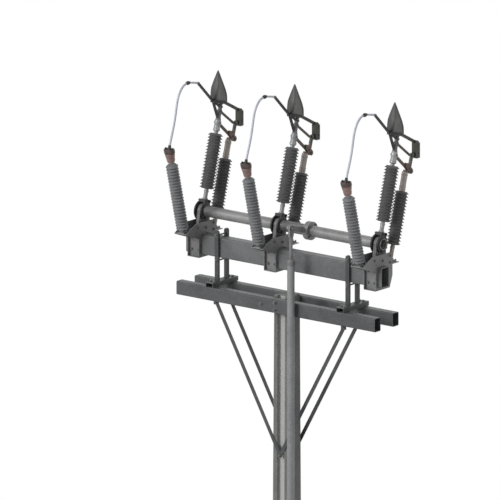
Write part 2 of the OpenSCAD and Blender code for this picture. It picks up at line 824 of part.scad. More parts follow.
rocker_clamp(mid_x);  // rocker_clamp_middle
rocker_clamp(right_x);  // rocker_clamp_right
moving_insulator(left_x);  // moving_insulator_left
moving_insulator(mid_x);  // moving_insulator_middle
moving_insulator(right_x);  // moving_insulator_right
moving_contact(left_x);  // moving_contact_left
moving_contact(mid_x);  // moving_contact_middle
moving_contact(right_x);  // moving_contact_right
arc_hood(left_x);  // arc_hood_left
arc_hood(mid_x);  // arc_hood_middle
arc_hood(right_x);  // arc_hood_right
lead(left_x);  // lead_left
lead(mid_x);  // lead_middle
lead(right_x);  // lead_right
operating_rod();
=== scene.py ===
# %% [markdown]
# # An air break switch on its pole
# The switch stands on a concrete pole and breaks three phases at once. Its solids come from the CAD frame,
# and this lesson dresses them: materials, insulators, arc hoods, leads and fasteners. We load the frame
# first, because every later piece is placed by it, in metres.

# %% Load the frame
from math import cos, pi, radians, sin

import bmesh
import bpy
from mathutils import Matrix, Vector


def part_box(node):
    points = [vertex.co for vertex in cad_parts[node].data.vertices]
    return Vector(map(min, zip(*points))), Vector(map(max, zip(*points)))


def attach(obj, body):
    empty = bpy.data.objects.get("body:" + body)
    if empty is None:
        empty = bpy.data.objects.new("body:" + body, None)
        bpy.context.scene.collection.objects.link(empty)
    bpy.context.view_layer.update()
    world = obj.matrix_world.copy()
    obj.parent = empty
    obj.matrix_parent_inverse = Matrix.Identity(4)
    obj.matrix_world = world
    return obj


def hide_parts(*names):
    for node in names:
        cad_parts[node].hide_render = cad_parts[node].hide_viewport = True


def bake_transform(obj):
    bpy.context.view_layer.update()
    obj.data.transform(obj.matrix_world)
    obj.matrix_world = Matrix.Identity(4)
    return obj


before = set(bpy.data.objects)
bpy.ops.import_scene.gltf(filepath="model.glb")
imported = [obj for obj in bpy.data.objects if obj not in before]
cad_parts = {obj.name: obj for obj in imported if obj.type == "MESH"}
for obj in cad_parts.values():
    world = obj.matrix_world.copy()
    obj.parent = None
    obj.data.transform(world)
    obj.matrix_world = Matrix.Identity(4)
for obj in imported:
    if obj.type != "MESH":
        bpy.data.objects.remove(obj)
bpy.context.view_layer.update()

# %% [markdown]
# ## The camera
# The picture was taken from far away, so its parallel edges hardly converge. A long lens far from the
# object gives the same look. We work out the view's own right and up directions, so that the target can be
# shifted across the picture without turning the camera.

# %% Camera
AZIMUTH, ELEVATION = radians(38.6), radians(13.75)
DISTANCE, LENS, SENSOR, FAR_CLIP = 148.2, 1000.0, 36.0, 600.0
ARM_Z, SHIFT_RIGHT, SHIFT_UP = 9.0, -0.395, 0.565
to_camera = Vector((sin(AZIMUTH) * cos(ELEVATION), -cos(AZIMUTH) * cos(ELEVATION), sin(ELEVATION)))
view_right = Vector((cos(AZIMUTH), sin(AZIMUTH), 0.0))
view_up = to_camera.cross(view_right)
target = Vector((0.0, 0.0, ARM_Z)) + SHIFT_RIGHT * view_right + SHIFT_UP * view_up

camera_data = bpy.data.cameras.new("photo_camera")
camera_data.lens, camera_data.sensor_width, camera_data.clip_end = LENS, SENSOR, FAR_CLIP
camera = bpy.data.objects.new("photo_camera", camera_data)
camera.location = target + DISTANCE * to_camera
camera.rotation_euler = (-to_camera).to_track_quat("-Z", "Y").to_euler()
bpy.context.collection.objects.link(camera)
bpy.context.scene.camera = camera
print("camera at", [round(v, 2) for v in camera.location], "looks at", [round(v, 2) for v in target])

# %% [markdown]
# ## Studio light
# A studio gives broad, soft light. Three sun lamps with a wide angle throw soft shadows over the whole
# eleven metres alike, which one small lamp could not.

# %% Lamps
scene = bpy.context.scene
scene.view_settings.view_transform = "Standard"


def soft_sun(name, come_from, strength, spread):
    data = bpy.data.lights.new(name, "SUN")
    data.energy, data.angle = strength, radians(spread)
    lamp = bpy.data.objects.new(name, data)
    lamp.rotation_euler = Vector(come_from).to_track_quat("Z", "Y").to_euler()
    bpy.context.collection.objects.link(lamp)


soft_sun("key_sun", (-0.35, -1.0, 0.45), 2.0, 25)
soft_sun("right_sun", (1.0, 0.1, 0.5), 0.35, 45)
soft_sun("back_sun", (-0.3, 1.0, 0.6), 0.9, 45)

# %% [markdown]
# ## The white studio
# The world is a dim grey for the fill, and plain white where the camera or a reflection looks past the
# object. Light Path tells the two apart. Every node tree is built in the same two steps, so we write them
# once: a function makes a node with its values, and another wires sockets together.


# %% Make nodes and wire them
def add_node(tree, kind, sockets=None, **settings):
    """A new node with its settings, and with the values of its sockets by name or number."""
    node = tree.nodes.new(kind)
    for setting, value in settings.items():
        setattr(node, setting, value)
    for socket, value in (sockets or {}).items():
        node.inputs[socket].default_value = value
    return node


def maths(tree, operation, second=None):
    """A Math node, with its second value where that is a constant."""
    return add_node(tree, "ShaderNodeMath", {} if second is None else {1: second}, operation=operation)


def wire(tree, *wires):
    """Joins outputs to inputs, each given by its node and its socket's name or number."""
    for source, out, sink, into in wires:
        tree.links.new(source.outputs[out], sink.inputs[into])


print("helpers: add_node, maths, wire")

# %% World
world = bpy.data.worlds.new("studio")
scene.world = world
world.use_nodes = True
sky = world.node_tree
sky.nodes.clear()
rays = add_node(sky, "ShaderNodeLightPath")
seen, seen_through = (maths(sky, "MAXIMUM") for _ in range(2))
fill = add_node(sky, "ShaderNodeBackground", {"Color": (0.97, 0.97, 0.97, 1.0), "Strength": 0.38})
backdrop = add_node(sky, "ShaderNodeBackground", {"Color": (1.0, 1.0, 1.0, 1.0)})
mixed, world_out = add_node(sky, "ShaderNodeMixShader"), add_node(sky, "ShaderNodeOutputWorld")
wire(sky, (rays, "Is Camera Ray", seen, 0), (rays, "Is Glossy Ray", seen, 1), (seen, 0, seen_through, 0),
     (rays, "Is Transmission Ray", seen_through, 1), (seen_through, 0, mixed, 0), (fill, 0, mixed, 1),
     (backdrop, 0, mixed, 2), (mixed, 0, world_out, "Surface"))
print("world nodes:", len(sky.nodes))

# %% [markdown]
# ## The floor
# The pole needs ground to throw its shadow on. A plain disc does: near the pole it is a pale matt floor,
# and towards its rim it fades into the white backdrop, so that no edge of it shows.

# %% Floor
FLOOR_R, FADE_START, FADE_END = 9.0, 3.0, 8.7
floor_bm = bmesh.new()
bmesh.ops.create_circle(floor_bm, cap_ends=True, segments=96, radius=FLOOR_R)
floor_mesh = bpy.data.meshes.new("floor")
floor_bm.to_mesh(floor_mesh)
floor_bm.free()
floor = bpy.data.objects.new("floor", floor_mesh)
bpy.context.collection.objects.link(floor)


def ramp(tree, low, high, start=0.0, end=1.0):
    """A Map Range node that goes from a start to an end value between two levels."""
    return add_node(tree, "ShaderNodeMapRange",
                    {"From Min": low, "From Max": high, "To Min": start, "To Max": end})


floor_look = bpy.data.materials.new("pale_floor")
floor_look.use_nodes = True
tree = floor_look.node_tree
tree.nodes.clear()
place = add_node(tree, "ShaderNodeTexCoord")
reach = add_node(tree, "ShaderNodeVectorMath", operation="LENGTH")
fade = ramp(tree, FADE_START, FADE_END)
matt = add_node(tree, "ShaderNodeBsdfDiffuse", {"Color": (0.86, 0.86, 0.86, 1.0)})
glow, floor_mix = add_node(tree, "ShaderNodeEmission"), add_node(tree, "ShaderNodeMixShader")
floor_out = add_node(tree, "ShaderNodeOutputMaterial")
wire(tree, (place, "Object", reach, 0), (reach, "Value", fade, "Value"), (fade, "Result", floor_mix, 0),
     (matt, 0, floor_mix, 1), (glow, 0, floor_mix, 2), (floor_mix, 0, floor_out, "Surface"))
floor_mesh.materials.append(floor_look)
print("floor radius", FLOOR_R)

# %% [markdown]
# ## Effects that several materials share
# Outdoor metal, concrete and rubber all carry the same marks: patches where the surface has dulled, dark
# runs where rain has washed down, small cells, a fine grain and worn edges. Each is one node group with
# named sockets, so that every material can place it with its own values. The patterns read Object
# coordinates, which stay with the piece when it moves.


# %% Helpers for node groups
def linear(level):
    """A level as a picture program writes it, 0 to 255, in the linear value that nodes use."""
    return level / 255 / 12.92 if level <= 10 else ((level / 255 + 0.055) / 1.055) ** 2.4


def tone(red, green, blue):
    return linear(red), linear(green), linear(blue), 1.0


def new_group(name, inputs, outputs):
    group = bpy.data.node_groups.new(name, "ShaderNodeTree")
    for label, kind, value in inputs:
        group.interface.new_socket(label, in_out="INPUT", socket_type=kind).default_value = value
    for label, kind in outputs:
        group.interface.new_socket(label, in_out="OUTPUT", socket_type=kind)
    return group, group.nodes.new("NodeGroupInput"), group.nodes.new("NodeGroupOutput")


# A Mix node has sockets of the same name for numbers, vectors and colours, so its colours go by number.
MIX_A, MIX_B, MIX_OUT = 6, 7, 2


def colour_mix(tree, colours=None):
    return add_node(tree, "ShaderNodeMix", colours, data_type="RGBA")


NUMBER, COLOUR = "NodeSocketFloat", "NodeSocketColor"
print("zinc grey is", [round(c, 3) for c in tone(118, 120, 122)])

# %% Patches and rain runs
patina, p_in, p_out = new_group(
    "outdoor_patina",
    [("Clean", COLOUR, tone(130, 130, 130)), ("Dull", COLOUR, tone(90, 90, 90)),
     ("Patch Scale", NUMBER, 4.0), ("Run Strength", NUMBER, 0.4)],
    [("Colour", COLOUR), ("Dullness", NUMBER)],
)
coords = add_node(patina, "ShaderNodeTexCoord")
patches = add_node(patina, "ShaderNodeTexNoise", {"Detail": 5.0, "Roughness": 0.62})
patch_range = ramp(patina, 0.36, 0.66)
stretch = add_node(patina, "ShaderNodeMapping", {"Scale": (34.0, 34.0, 1.6)})
runs = add_node(patina, "ShaderNodeTexNoise", {"Scale": 1.0, "Detail": 3.0})
run_range = ramp(patina, 0.52, 0.72)
run_share = maths(patina, "MULTIPLY")
both = maths(patina, "MAXIMUM")
blended = colour_mix(patina)
wire(patina, (coords, "Object", patches, "Vector"), (p_in, "Patch Scale", patches, "Scale"),
     (patches, "Fac", patch_range, "Value"), (coords, "Object", stretch, "Vector"),
     (stretch, "Vector", runs, "Vector"), (runs, "Fac", run_range, "Value"),
     (run_range, "Result", run_share, 0), (p_in, "Run Strength", run_share, 1),
     (patch_range, "Result", both, 0), (run_share, 0, both, 1), (both, 0, blended, "Factor"),
     (p_in, "Clean", blended, MIX_A), (p_in, "Dull", blended, MIX_B), (blended, MIX_OUT, p_out, "Colour"),
     (both, 0, p_out, "Dullness"))
print("group:", patina.name, "sockets", [s.name for s in patina.interface.items_tree])

# %% Fine grain
grain, g_in, g_out = new_group(
    "fine_grain",
    [("Grain Scale", NUMBER, 200.0), ("Low", NUMBER, 0.4), ("High", NUMBER, 0.6)],
    [("Value", NUMBER), ("Height", NUMBER)],
)
coords = add_node(grain, "ShaderNodeTexCoord")
noise = add_node(grain, "ShaderNodeTexNoise", {"Detail": 4.0})
levels = ramp(grain, 0.3, 0.7)
wire(grain, (coords, "Object", noise, "Vector"), (g_in, "Grain Scale", noise, "Scale"),
     (noise, "Fac", levels, "Value"), (g_in, "Low", levels, "To Min"), (g_in, "High", levels, "To Max"),
     (levels, "Result", g_out, "Value"), (noise, "Fac", g_out, "Height"))
print("group:", grain.name)

# %% Cells: zinc flakes and pores
cells, c_in, c_out = new_group(
    "flakes_and_pores",
    [("Base", COLOUR, tone(120, 120, 120)), ("Cell Colour", COLOUR, tone(80, 80, 80)),
     ("Cell Scale", NUMBER, 60.0), ("Share", NUMBER, 0.3)],
    [("Colour", COLOUR), ("Depth", NUMBER)],
)
coords, voronoi = add_node(cells, "ShaderNodeTexCoord"), add_node(cells, "ShaderNodeTexVoronoi")
shade = add_node(cells, "ShaderNodeSeparateColor")
share = maths(cells, "MULTIPLY")
pore = ramp(cells, 0.0, 0.35)
tint = colour_mix(cells)
wire(cells, (coords, "Object", voronoi, "Vector"), (c_in, "Cell Scale", voronoi, "Scale"),
     (voronoi, "Color", shade, "Color"), (shade, "Red", share, 0), (c_in, "Share", share, 1),
     (share, 0, tint, "Factor"), (c_in, "Base", tint, MIX_A), (c_in, "Cell Colour", tint, MIX_B),
     (voronoi, "Distance", pore, "Value"), (tint, MIX_OUT, c_out, "Colour"), (pore, "Result", c_out, "Depth"))
print("group:", cells.name)

# %% Worn edges
# Pieces whose edges we ease later carry an attribute, edge_wear, that is 1 on the eased faces. Noise breaks
# it up, so that the bare metal shows in places and not as a drawn line. On a piece without the attribute
# nothing changes.
edges_worn, e_in, e_out = new_group(
    "worn_edges",
    [("Base", COLOUR, tone(120, 120, 120)), ("Edge Colour", COLOUR, tone(160, 160, 160)),
     ("Wear", NUMBER, 0.7)],
    [("Colour", COLOUR)],
)
coords = add_node(edges_worn, "ShaderNodeTexCoord")
marked = add_node(edges_worn, "ShaderNodeAttribute", attribute_name="edge_wear")
chips = add_node(edges_worn, "ShaderNodeTexNoise", {"Scale": 45.0, "Detail": 4.0})
chip_range = ramp(edges_worn, 0.38, 0.62)
chipped, strength = (maths(edges_worn, "MULTIPLY") for _ in range(2))
bared = colour_mix(edges_worn)
wire(edges_worn, (coords, "Object", chips, "Vector"), (chips, "Fac", chip_range, "Value"),
     (chip_range, "Result", chipped, 0), (marked, "Fac", chipped, 1), (chipped, 0, strength, 0),
     (e_in, "Wear", strength, 1), (strength, 0, bared, "Factor"), (e_in, "Base", bared, MIX_A),
     (e_in, "Edge Colour", bared, MIX_B), (bared, MIX_OUT, e_out, "Colour"))
print("group:", edges_worn.name)

# %% [markdown]
# ## The finishes
# Each finish is one material with its own Principled shader. The patina gives the colour, the cells break
# it up, and the grain drives the roughness and a small bump, which on concrete comes from the pores. What
# is the same all over, such as how metallic a finish is, is set on the shader itself.

# %% A finish from the shared effects
RELIEF = 0.002


def weathered(name, clean, dull, flake, *, edge=None, metallic=0.0, patch=3.0, runs=0.3, cell=70.0, share=0.3,
              grain_scale=180.0, rough=(0.5, 0.65), bump=0.12, from_cells=False, specular=0.5):
    look = bpy.data.materials.new(name)
    look.use_nodes = True
    tree = look.node_tree
    shader = tree.nodes["Principled BSDF"]
    worn = add_node(tree, "ShaderNodeGroup",
                    {"Clean": tone(*clean), "Dull": tone(*dull), "Patch Scale": patch,
                     "Run Strength": runs}, node_tree=patina)
    spotted = add_node(tree, "ShaderNodeGroup",
                       {"Cell Colour": tone(*flake), "Cell Scale": cell, "Share": share}, node_tree=cells)
    rim = add_node(tree, "ShaderNodeGroup", {"Edge Colour": tone(*(edge or flake))}, node_tree=edges_worn)
    fine = add_node(tree, "ShaderNodeGroup", {"Grain Scale": grain_scale, "Low": rough[0], "High": rough[1]},
                    node_tree=grain)
    relief = add_node(tree, "ShaderNodeBump", {"Strength": bump, "Distance": RELIEF})
    hollows = (spotted, "Depth") if from_cells else (fine, "Height")
    wire(tree, (worn, "Colour", spotted, "Base"), (spotted, "Colour", rim, "Base"),
         (rim, "Colour", shader, "Base Color"), (fine, "Value", shader, "Roughness"),
         (*hollows, relief, "Height"), (relief, "Normal", shader, "Normal"))
    shader.inputs["Metallic"].default_value = metallic
    shader.inputs["Specular IOR Level"].default_value = specular
    return look


def zinc_coat(name, clean, dull, flake, edge):
    """Hot-dip zinc, which greys more the longer it has stood outdoors; the darker coats are partly painted
    shade.
    """
    return weathered(name, clean, dull, flake, edge=edge, metallic=0.35, patch=2.6, runs=0.35, cell=55.0,
                     share=0.28, rough=(0.48, 0.68))


zinc = zinc_coat("galvanised", (121, 121, 121), (97, 97, 97), (139, 139, 139), (160, 161, 162))
# The arm and brace coats are darker partly as painted shade, standing for the shadowed back arm and rear
# posts.
shaded_arm_zinc = zinc_coat("shaded_arm_zinc", (83, 84, 85), (64, 65, 66), (99, 100, 101), (132, 134, 136))
shaded_brace_zinc = zinc_coat("shaded_brace_zinc", (72, 73, 74), (55, 56, 57), (87, 88, 89), (120, 122, 124))
beam_zinc = zinc_coat("beam_zinc", (102, 103, 104), (80, 81, 82), (120, 121, 122), (146, 148, 150))
rod_zinc = zinc_coat("rod_zinc", (134, 135, 136), (112, 113, 114), (150, 151, 152), (166, 168, 170))
print("zinc coats:", [m.name for m in (zinc, shaded_arm_zinc, shaded_brace_zinc, beam_zinc, rod_zinc)])

# %% Concrete, steel and iron
concrete = weathered("concrete", (125, 125, 124), (105, 105, 104), (92, 92, 91), edge=(150, 150, 148),
                     patch=1.7, runs=0.5, cell=130.0, share=0.22, grain_scale=90.0, rough=(0.85, 0.97),
                     bump=0.3, from_cells=True, specular=0.25)
bright_steel = weathered("bright_steel", (146, 147, 147), (118, 119, 120), (162, 163, 163), metallic=0.4,
                         patch=5.0, runs=0.3, cell=160.0, share=0.2, rough=(0.38, 0.56), bump=0.05)
shaft_steel = weathered("shaft_steel", (139, 140, 139), (111, 112, 111), (155, 155, 153),
                        edge=(186, 187, 187), metallic=0.3, patch=4.0, runs=0.3, cell=120.0, share=0.2,
                        rough=(0.42, 0.6), bump=0.06)
rear_steel = weathered("rear_fitting_steel", (160, 152, 146), (130, 122, 118), (176, 166, 160), metallic=0.3,
                       patch=7.0, runs=0.4, cell=160.0, share=0.25, rough=(0.42, 0.6), bump=0.06)
black_iron = weathered("black_iron", (40, 41, 42), (26, 26, 27), (58, 56, 53), edge=(98, 97, 94),
                       metallic=0.3, patch=14.0, runs=0.1, cell=220.0, share=0.25, rough=(0.42, 0.62))
print("finishes:", [m.name for m in (concrete, bright_steel, shaft_steel, rear_steel, black_iron)])

# %% The pole's web with painted light
# The web between the pole's flanges is painted paler, as painted light that keeps the recess lit beside its
# flanges, so its colour changes with the distance from the pole's middle. The paler tone keeps to the recess
# and stops short of the pole's top and its full foot.
WEB_HALF, WEB_EDGE, WEB_SHARE = 0.0475, 0.0485, 0.85
RECESS_LOW, RECESS_HIGH = 0.915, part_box("pole")[1].z - 0.012


def placed(tree, group):
    """The node that places a shared group in a material."""
    return next(n for n in tree.nodes if n.type == "GROUP" and n.node_tree == group)


tree = concrete.node_tree
pole_coords, across = add_node(tree, "ShaderNodeTexCoord"), add_node(tree, "ShaderNodeSeparateXYZ")
from_middle = maths(tree, "ABSOLUTE")
below_top = maths(tree, "LESS_THAN", RECESS_HIGH)
above_foot = maths(tree, "GREATER_THAN", RECESS_LOW)
in_height, web = (maths(tree, "MULTIPLY") for _ in range(2))
web_painted_light = ramp(tree, WEB_HALF, WEB_EDGE, WEB_SHARE, 0.0)
paler = colour_mix(tree, {MIX_B: tone(192, 192, 190)})
wire(tree, (pole_coords, "Object", across, "Vector"), (across, "X", from_middle, 0),
     (across, "Z", below_top, 0), (across, "Z", above_foot, 0), (below_top, 0, in_height, 0),
     (above_foot, 0, in_height, 1), (from_middle, 0, web_painted_light, "Value"), (web_painted_light, "Result", web, 0),
     (in_height, 0, web, 1), (web, 0, paler, "Factor"), (placed(tree, patina), "Colour", paler, MIX_A),
     (paler, MIX_OUT, placed(tree, cells), "Base"))
print("pole web is paler within", WEB_HALF, "m of the middle")

# %% Pits in the concrete
# Air caught against the mould leaves pits, the largest about a centimetre across. They are small balls
# round some of the points of a Voronoi texture, darker than the face and sunk by the bump.
PIT_SCALE, PIT_R, PIT_EDGE, PIT_SPREAD, PIT_LEFT_OUT, PIT_SHADE = 55.0, 0.20, 0.28, 0.18, 0.62, 0.42
bubbles = add_node(tree, "ShaderNodeTexVoronoi", {"Scale": PIT_SCALE})
chosen = add_node(tree, "ShaderNodeSeparateColor")
uneven = maths(tree, "MULTIPLY_ADD", PIT_SPREAD)
pit = ramp(tree, PIT_R, PIT_EDGE, 1.0, 0.0)
kept = maths(tree, "GREATER_THAN", PIT_LEFT_OUT)
pits = maths(tree, "MULTIPLY")
shadow = maths(tree, "MULTIPLY", PIT_SHADE)
sunk = maths(tree, "SUBTRACT")
pitted = colour_mix(tree, {MIX_B: tone(52, 52, 51)})
pole_relief = next(n for n in tree.nodes if n.type == "BUMP")
wire(tree, (pole_coords, "Object", bubbles, "Vector"), (bubbles, "Color", chosen, "Color"),
     (chosen, "Green", uneven, 0), (bubbles, "Distance", uneven, 2), (uneven, 0, pit, "Value"),
     (chosen, "Red", kept, 0), (pit, "Result", pits, 0), (kept, 0, pits, 1), (pits, 0, shadow, 0),
     (shadow, 0, pitted, "Factor"), (placed(tree, edges_worn), "Colour", pitted, MIX_A),
     (pitted, MIX_OUT, tree.nodes["Principled BSDF"], "Base Color"), (placed(tree, cells), "Depth", sunk, 0),
     (pits, 0, sunk, 1), (sunk, 0, pole_relief, "Height"))
print("pits are up to", round(2000 * PIT_EDGE / PIT_SCALE, 1), "mm across")

# %% Rubber, moulding and copper
# Finishes of the same stuff share these values and differ in their tones.
RUBBER = dict(patch=9.0, cell=300.0, share=0.2, grain_scale=320.0, rough=(0.55, 0.75), bump=0.05,
              specular=0.35)
MOULDED = dict(patch=12.0, cell=260.0, share=0.2, grain_scale=260.0, bump=0.06)
COPPER = dict(patch=18.0, runs=0.2, cell=240.0, rough=(0.38, 0.6), bump=0.06)
silicone = weathered("silicone", (94, 94, 95), (79, 79, 80), (110, 109, 107), **RUBBER)
front_silicone = weathered("front_silicone", (122, 123, 126), (104, 105, 108), (138, 138, 137), **RUBBER)
hood_moulding = weathered("hood_moulding", (62, 62, 62), (48, 48, 48), (80, 79, 76), runs=0.45,
                          rough=(0.45, 0.62), **MOULDED)
hood_panel = weathered("hood_panel", (112, 111, 108), (90, 90, 88), (128, 126, 121), runs=0.5,
                       rough=(0.5, 0.66), **MOULDED)
copper = weathered("aged_copper", (86, 74, 65), (54, 48, 44), (108, 90, 74), edge=(158, 126, 98),
                   metallic=0.45, **COPPER)
brown_glaze = weathered("brown_terminal", (140, 112, 107), (108, 88, 85), (156, 128, 121), metallic=0.1,
                        patch=14.0, runs=0.3, cell=260.0, share=0.25, rough=(0.34, 0.52), bump=0.05)
cap_bronze = weathered("cap_bronze", (82, 67, 64), (60, 50, 48), (100, 82, 78), edge=(132, 108, 102),
                       metallic=0.25, patch=16.0, runs=0.2, cell=260.0, share=0.25, rough=(0.36, 0.54),
                       bump=0.05)
fastener = weathered("fastener_zinc", (112, 112, 111), (80, 79, 78), (134, 134, 133), metallic=0.45,
                     patch=30.0, runs=0.1, cell=400.0, share=0.3, rough=(0.36, 0.55), bump=0.05)
print("finishes:", len([m for m in bpy.data.materials if m.use_nodes]))

# %% The rear contact's dark block
# The rear contact is one CAD node, but its line block, arcing arm and upper riser are dark while its jaws
# are copper. All three phases stand at the same depth and height, so two steps on Object coordinates part
# the finishes.
DARK_BEHIND, DARK_ABOVE = 0.650, 10.625
rear_copper = weathered("rear_copper", (100, 84, 76), (66, 57, 53), (118, 98, 86), edge=(156, 128, 108),
                        metallic=0.4, **COPPER)
tree = rear_copper.node_tree
rear_coords, apart = add_node(tree, "ShaderNodeTexCoord"), add_node(tree, "ShaderNodeSeparateXYZ")
behind = maths(tree, "GREATER_THAN", DARK_BEHIND)
above = maths(tree, "GREATER_THAN", DARK_ABOVE)
either = maths(tree, "MAXIMUM")
dark_tone = colour_mix(tree, {MIX_A: tone(70, 70, 62), MIX_B: tone(45, 46, 41)})
darker = colour_mix(tree)
wire(tree, (rear_coords, "Object", apart, "Vector"), (apart, "Y", behind, 0), (apart, "Z", above, 0),
     (behind, 0, either, 0), (above, 0, either, 1), (either, 0, darker, "Factor"),
     (placed(tree, patina), "Dullness", dark_tone, "Factor"),
     (placed(tree, edges_worn), "Colour", darker, MIX_A), (dark_tone, MIX_OUT, darker, MIX_B),
     (darker, MIX_OUT, tree.nodes["Principled BSDF"], "Base Color"))
print("rear contact is dark behind", DARK_BEHIND, "and above", DARK_ABOVE)

# %% [markdown]
# ## Places on the switch
# A phase's moving insulator leans back over the shaft, and its front insulator leans forward. Working in a
# tilted frame keeps the numbers simple: we model each piece upright about its own axis, and then one matrix
# sets it down on its phase.

# %% Phases and tilted frames
PHASES = {"left": -1.200, "middle": -0.154, "right": 1.200}
SHAFT_Y, SHAFT_Z = 0.064, 9.822
LEAN, FRONT_LEAN = radians(15.2), radians(14.0)
FRONT_Y, BASE_TOP, BEAM_TOP, SEAT_H = 0.274, 9.640, 9.595, 0.024
REAR_Y, SHAFT_UP = 0.250, 0.227
REAR_T = (REAR_Y - SHAFT_Y) * cos(LEAN) + SHAFT_UP * sin(LEAN)
REAR_SEAT = (REAR_Y - SHAFT_Y) * sin(LEAN) - SHAFT_UP * cos(LEAN) + SEAT_H


def moving_frame(x, t=0.0, s=0.0):
    """Z runs up the leaning moving insulator from the shaft, and Y runs backward from its axis."""
    tilt = Matrix.Rotation(-LEAN, 4, "X")
    return Matrix.Translation((x, SHAFT_Y, SHAFT_Z)) @ tilt @ Matrix.Translation((0, t, s))


def front_frame(x, s=0.0):
    """Z runs up the front insulator from its seat."""
    tilt = Matrix.Rotation(FRONT_LEAN, 4, "X")
    return Matrix.Translation((x, -FRONT_Y, BASE_TOP)) @ tilt @ Matrix.Translation((0, 0, SEAT_H + s))


print("rear insulator stands", round(REAR_T, 3), "m behind the moving one")

# %% [markdown]
# ## From bmesh to a piece
# A bmesh is the mesh that Blender's operators edit. Each piece ends in the same way: doubles are merged,
# normals point outwards, edges over an angle stay sharp, and the piece rides on its body.


# %% Finish a piece
def finish_piece(name, bm, body, looks, nodes=(), sharp=38):
    bmesh.ops.remove_doubles(bm, verts=bm.verts, dist=2e-5)
    bmesh.ops.recalc_face_normals(bm, faces=bm.faces)
    mesh = bpy.data.meshes.new(name)
    bm.to_mesh(mesh)
    bm.free()
    for look in looks:
        mesh.materials.append(look)
    mesh.shade_smooth()
    mesh.set_sharp_from_angle(angle=radians(sharp))
    piece = bpy.data.objects.new(name, mesh)
    bpy.context.collection.objects.link(piece)
    if body:
        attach(piece, body)
    if nodes:
        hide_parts(*nodes)
    return piece


def gather(parts):
    """Several bmeshes as one."""
    whole = bmesh.new()
    for part in parts:
        carrier = bpy.data.meshes.new("carrier")
        part.to_mesh(carrier)
        part.free()
        whole.from_mesh(carrier)
        bpy.data.meshes.remove(carrier)
    return whole


def paint(bm, index):
    for face in bm.faces:
        face.material_index = index
    return bm


print("helpers: finish_piece, gather, paint")

# %% [markdown]
# ## Easing the steel and the concrete
# Rolled steel, castings and concrete never have knife edges, and an eased edge is what catches the light. A
# CAD node's mesh is left alone, so we work on a copy: its loose triangles are merged, flat neighbours are
# joined, and every edge that turns sharply is bevelled. The new faces get the edge_wear attribute, which
# the finishes read. A Weighted Normal modifier keeps the large faces looking flat beside their rounded
# edges.


# %% Ease a copy of a node
def bevel(bm, edges, width, segments):
    """Rounds edges and gives the new faces."""
    return bmesh.ops.bevel(bm, geom=edges, offset=width, offset_type="OFFSET", segments=segments, profile=0.5,
                           affect="EDGES", clamp_overlap=True, material=-1)["faces"]


def eased_copy(solid, width):
    bm = bmesh.new()
    bm.from_mesh(solid.data)
    bmesh.ops.remove_doubles(bm, verts=bm.verts, dist=1e-5)
    bmesh.ops.dissolve_limit(bm, angle_limit=radians(0.5), verts=bm.verts, edges=bm.edges)
    wear = bm.faces.layers.float.new("edge_wear")
    turned = [e for e in bm.edges if e.is_manifold and e.calc_face_angle() > radians(35)]
    rounded = bevel(bm, turned, width, 2)
    paint(bm, 0)
    for face in rounded:
        face[wear] = 1.0
    return bm


EASED = {
    "pole": (concrete, "concrete", 0.010), "main_beam": (beam_zinc, "galvanised", 0.0015),
    "front_crossarm": (shaded_arm_zinc, "galvanised", 0.0015), "back_crossarm": (shaded_arm_zinc, "galvanised", 0.0015),
    "brace_front": (shaded_brace_zinc, "galvanised", 0.0015), "brace_back": (shaded_brace_zinc, "galvanised", 0.0015),
    "saddle": (shaded_arm_zinc, "galvanised", 0.002), "posts": (shaded_brace_zinc, "galvanised", 0.002),
    "base": (zinc, "galvanised", 0.002), "rod_guides": (zinc, "galvanised", 0.002),
    "rear_contact": (rear_copper, "copper", 0.002), "shaft": (shaft_steel, "bright_steel", 0.002),
    "crank": (shaft_steel, "bright_steel", 0.002), "rocker_clamp": (black_iron, "black_iron", 0.002),
}
ROCKING = ("shaft", "crank", "rocker_clamp")
for node_name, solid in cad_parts.items():
    kind = node_name.rsplit("_", 1)[0] if node_name.endswith(("_left", "_middle", "_right")) else node_name
    if kind not in EASED:
        continue
    finish, slot_name, width = EASED[kind]
    piece = finish_piece(f"{node_name}_eased", eased_copy(solid, width),
                         "rocker" if kind in ROCKING else "frame", [finish], [node_name])
    piece.modifiers.new("keep_flat", "WEIGHTED_NORMAL").keep_sharp = True

# %% The rod keeps its CAD mesh
# The operating rod is round all over, so it only needs a finish in its material slots.
for material_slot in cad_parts["operating_rod"].material_slots:
    material_slot.material = rod_zinc
print("rod finish:", rod_zinc.name)

# %% [markdown]
# ## Composite insulators
# A composite insulator is a glass-fibre rod in a sleeve of silicone rubber. Its thin sheds keep rain from
# running down in one film. The shape is a turned one, so we draw half of its outline and spin it. Each shed
# slopes on top, is hollowed a little below and has a rounded lip. Steel fittings are crimped on both ends.


# %% Outlines of sheds and fittings
def lathe(profile, place_at, steps=36):
    """A turned piece: the outline (radius, height) spun once round its axis."""
    bm = bmesh.new()
    line = [bm.verts.new((r, 0.0, z)) for r, z in profile]
    edges = [bm.edges.new(pair) for pair in zip(line, line[1:])]
    bmesh.ops.spin(bm, geom=line + edges, cent=(0, 0, 0), axis=(0, 0, 1), angle=2 * pi, steps=steps,
                   use_merge=True)
    bmesh.ops.remove_doubles(bm, verts=bm.verts, dist=1e-5)
    bmesh.ops.recalc_face_normals(bm, faces=bm.faces)
    bmesh.ops.transform(bm, matrix=place_at, verts=bm.verts)
    return bm


def shed_profile(foot, body, shed_r, count, reach=0.019):
    pitch, core = body / count, shed_r - reach
    outline = [(0.0, foot), (core - 0.004, foot), (core, foot + 0.004)]
    for i in range(count):
        z = foot + pitch * i
        outline += [(core, z + pitch * 0.22), (core + 0.004, z + pitch * 0.30),
                    (shed_r - 0.004, z + pitch * 0.24), (shed_r - 0.001, z + pitch * 0.25),
                    (shed_r, z + pitch * 0.31), (shed_r - 0.0015, z + pitch * 0.39),
                    (core + 0.006, z + pitch * 0.70), (core, z + pitch * 0.84)]
    return outline + [(core, foot + body - 0.004), (core - 0.004, foot + body), (0.0, foot + body)]


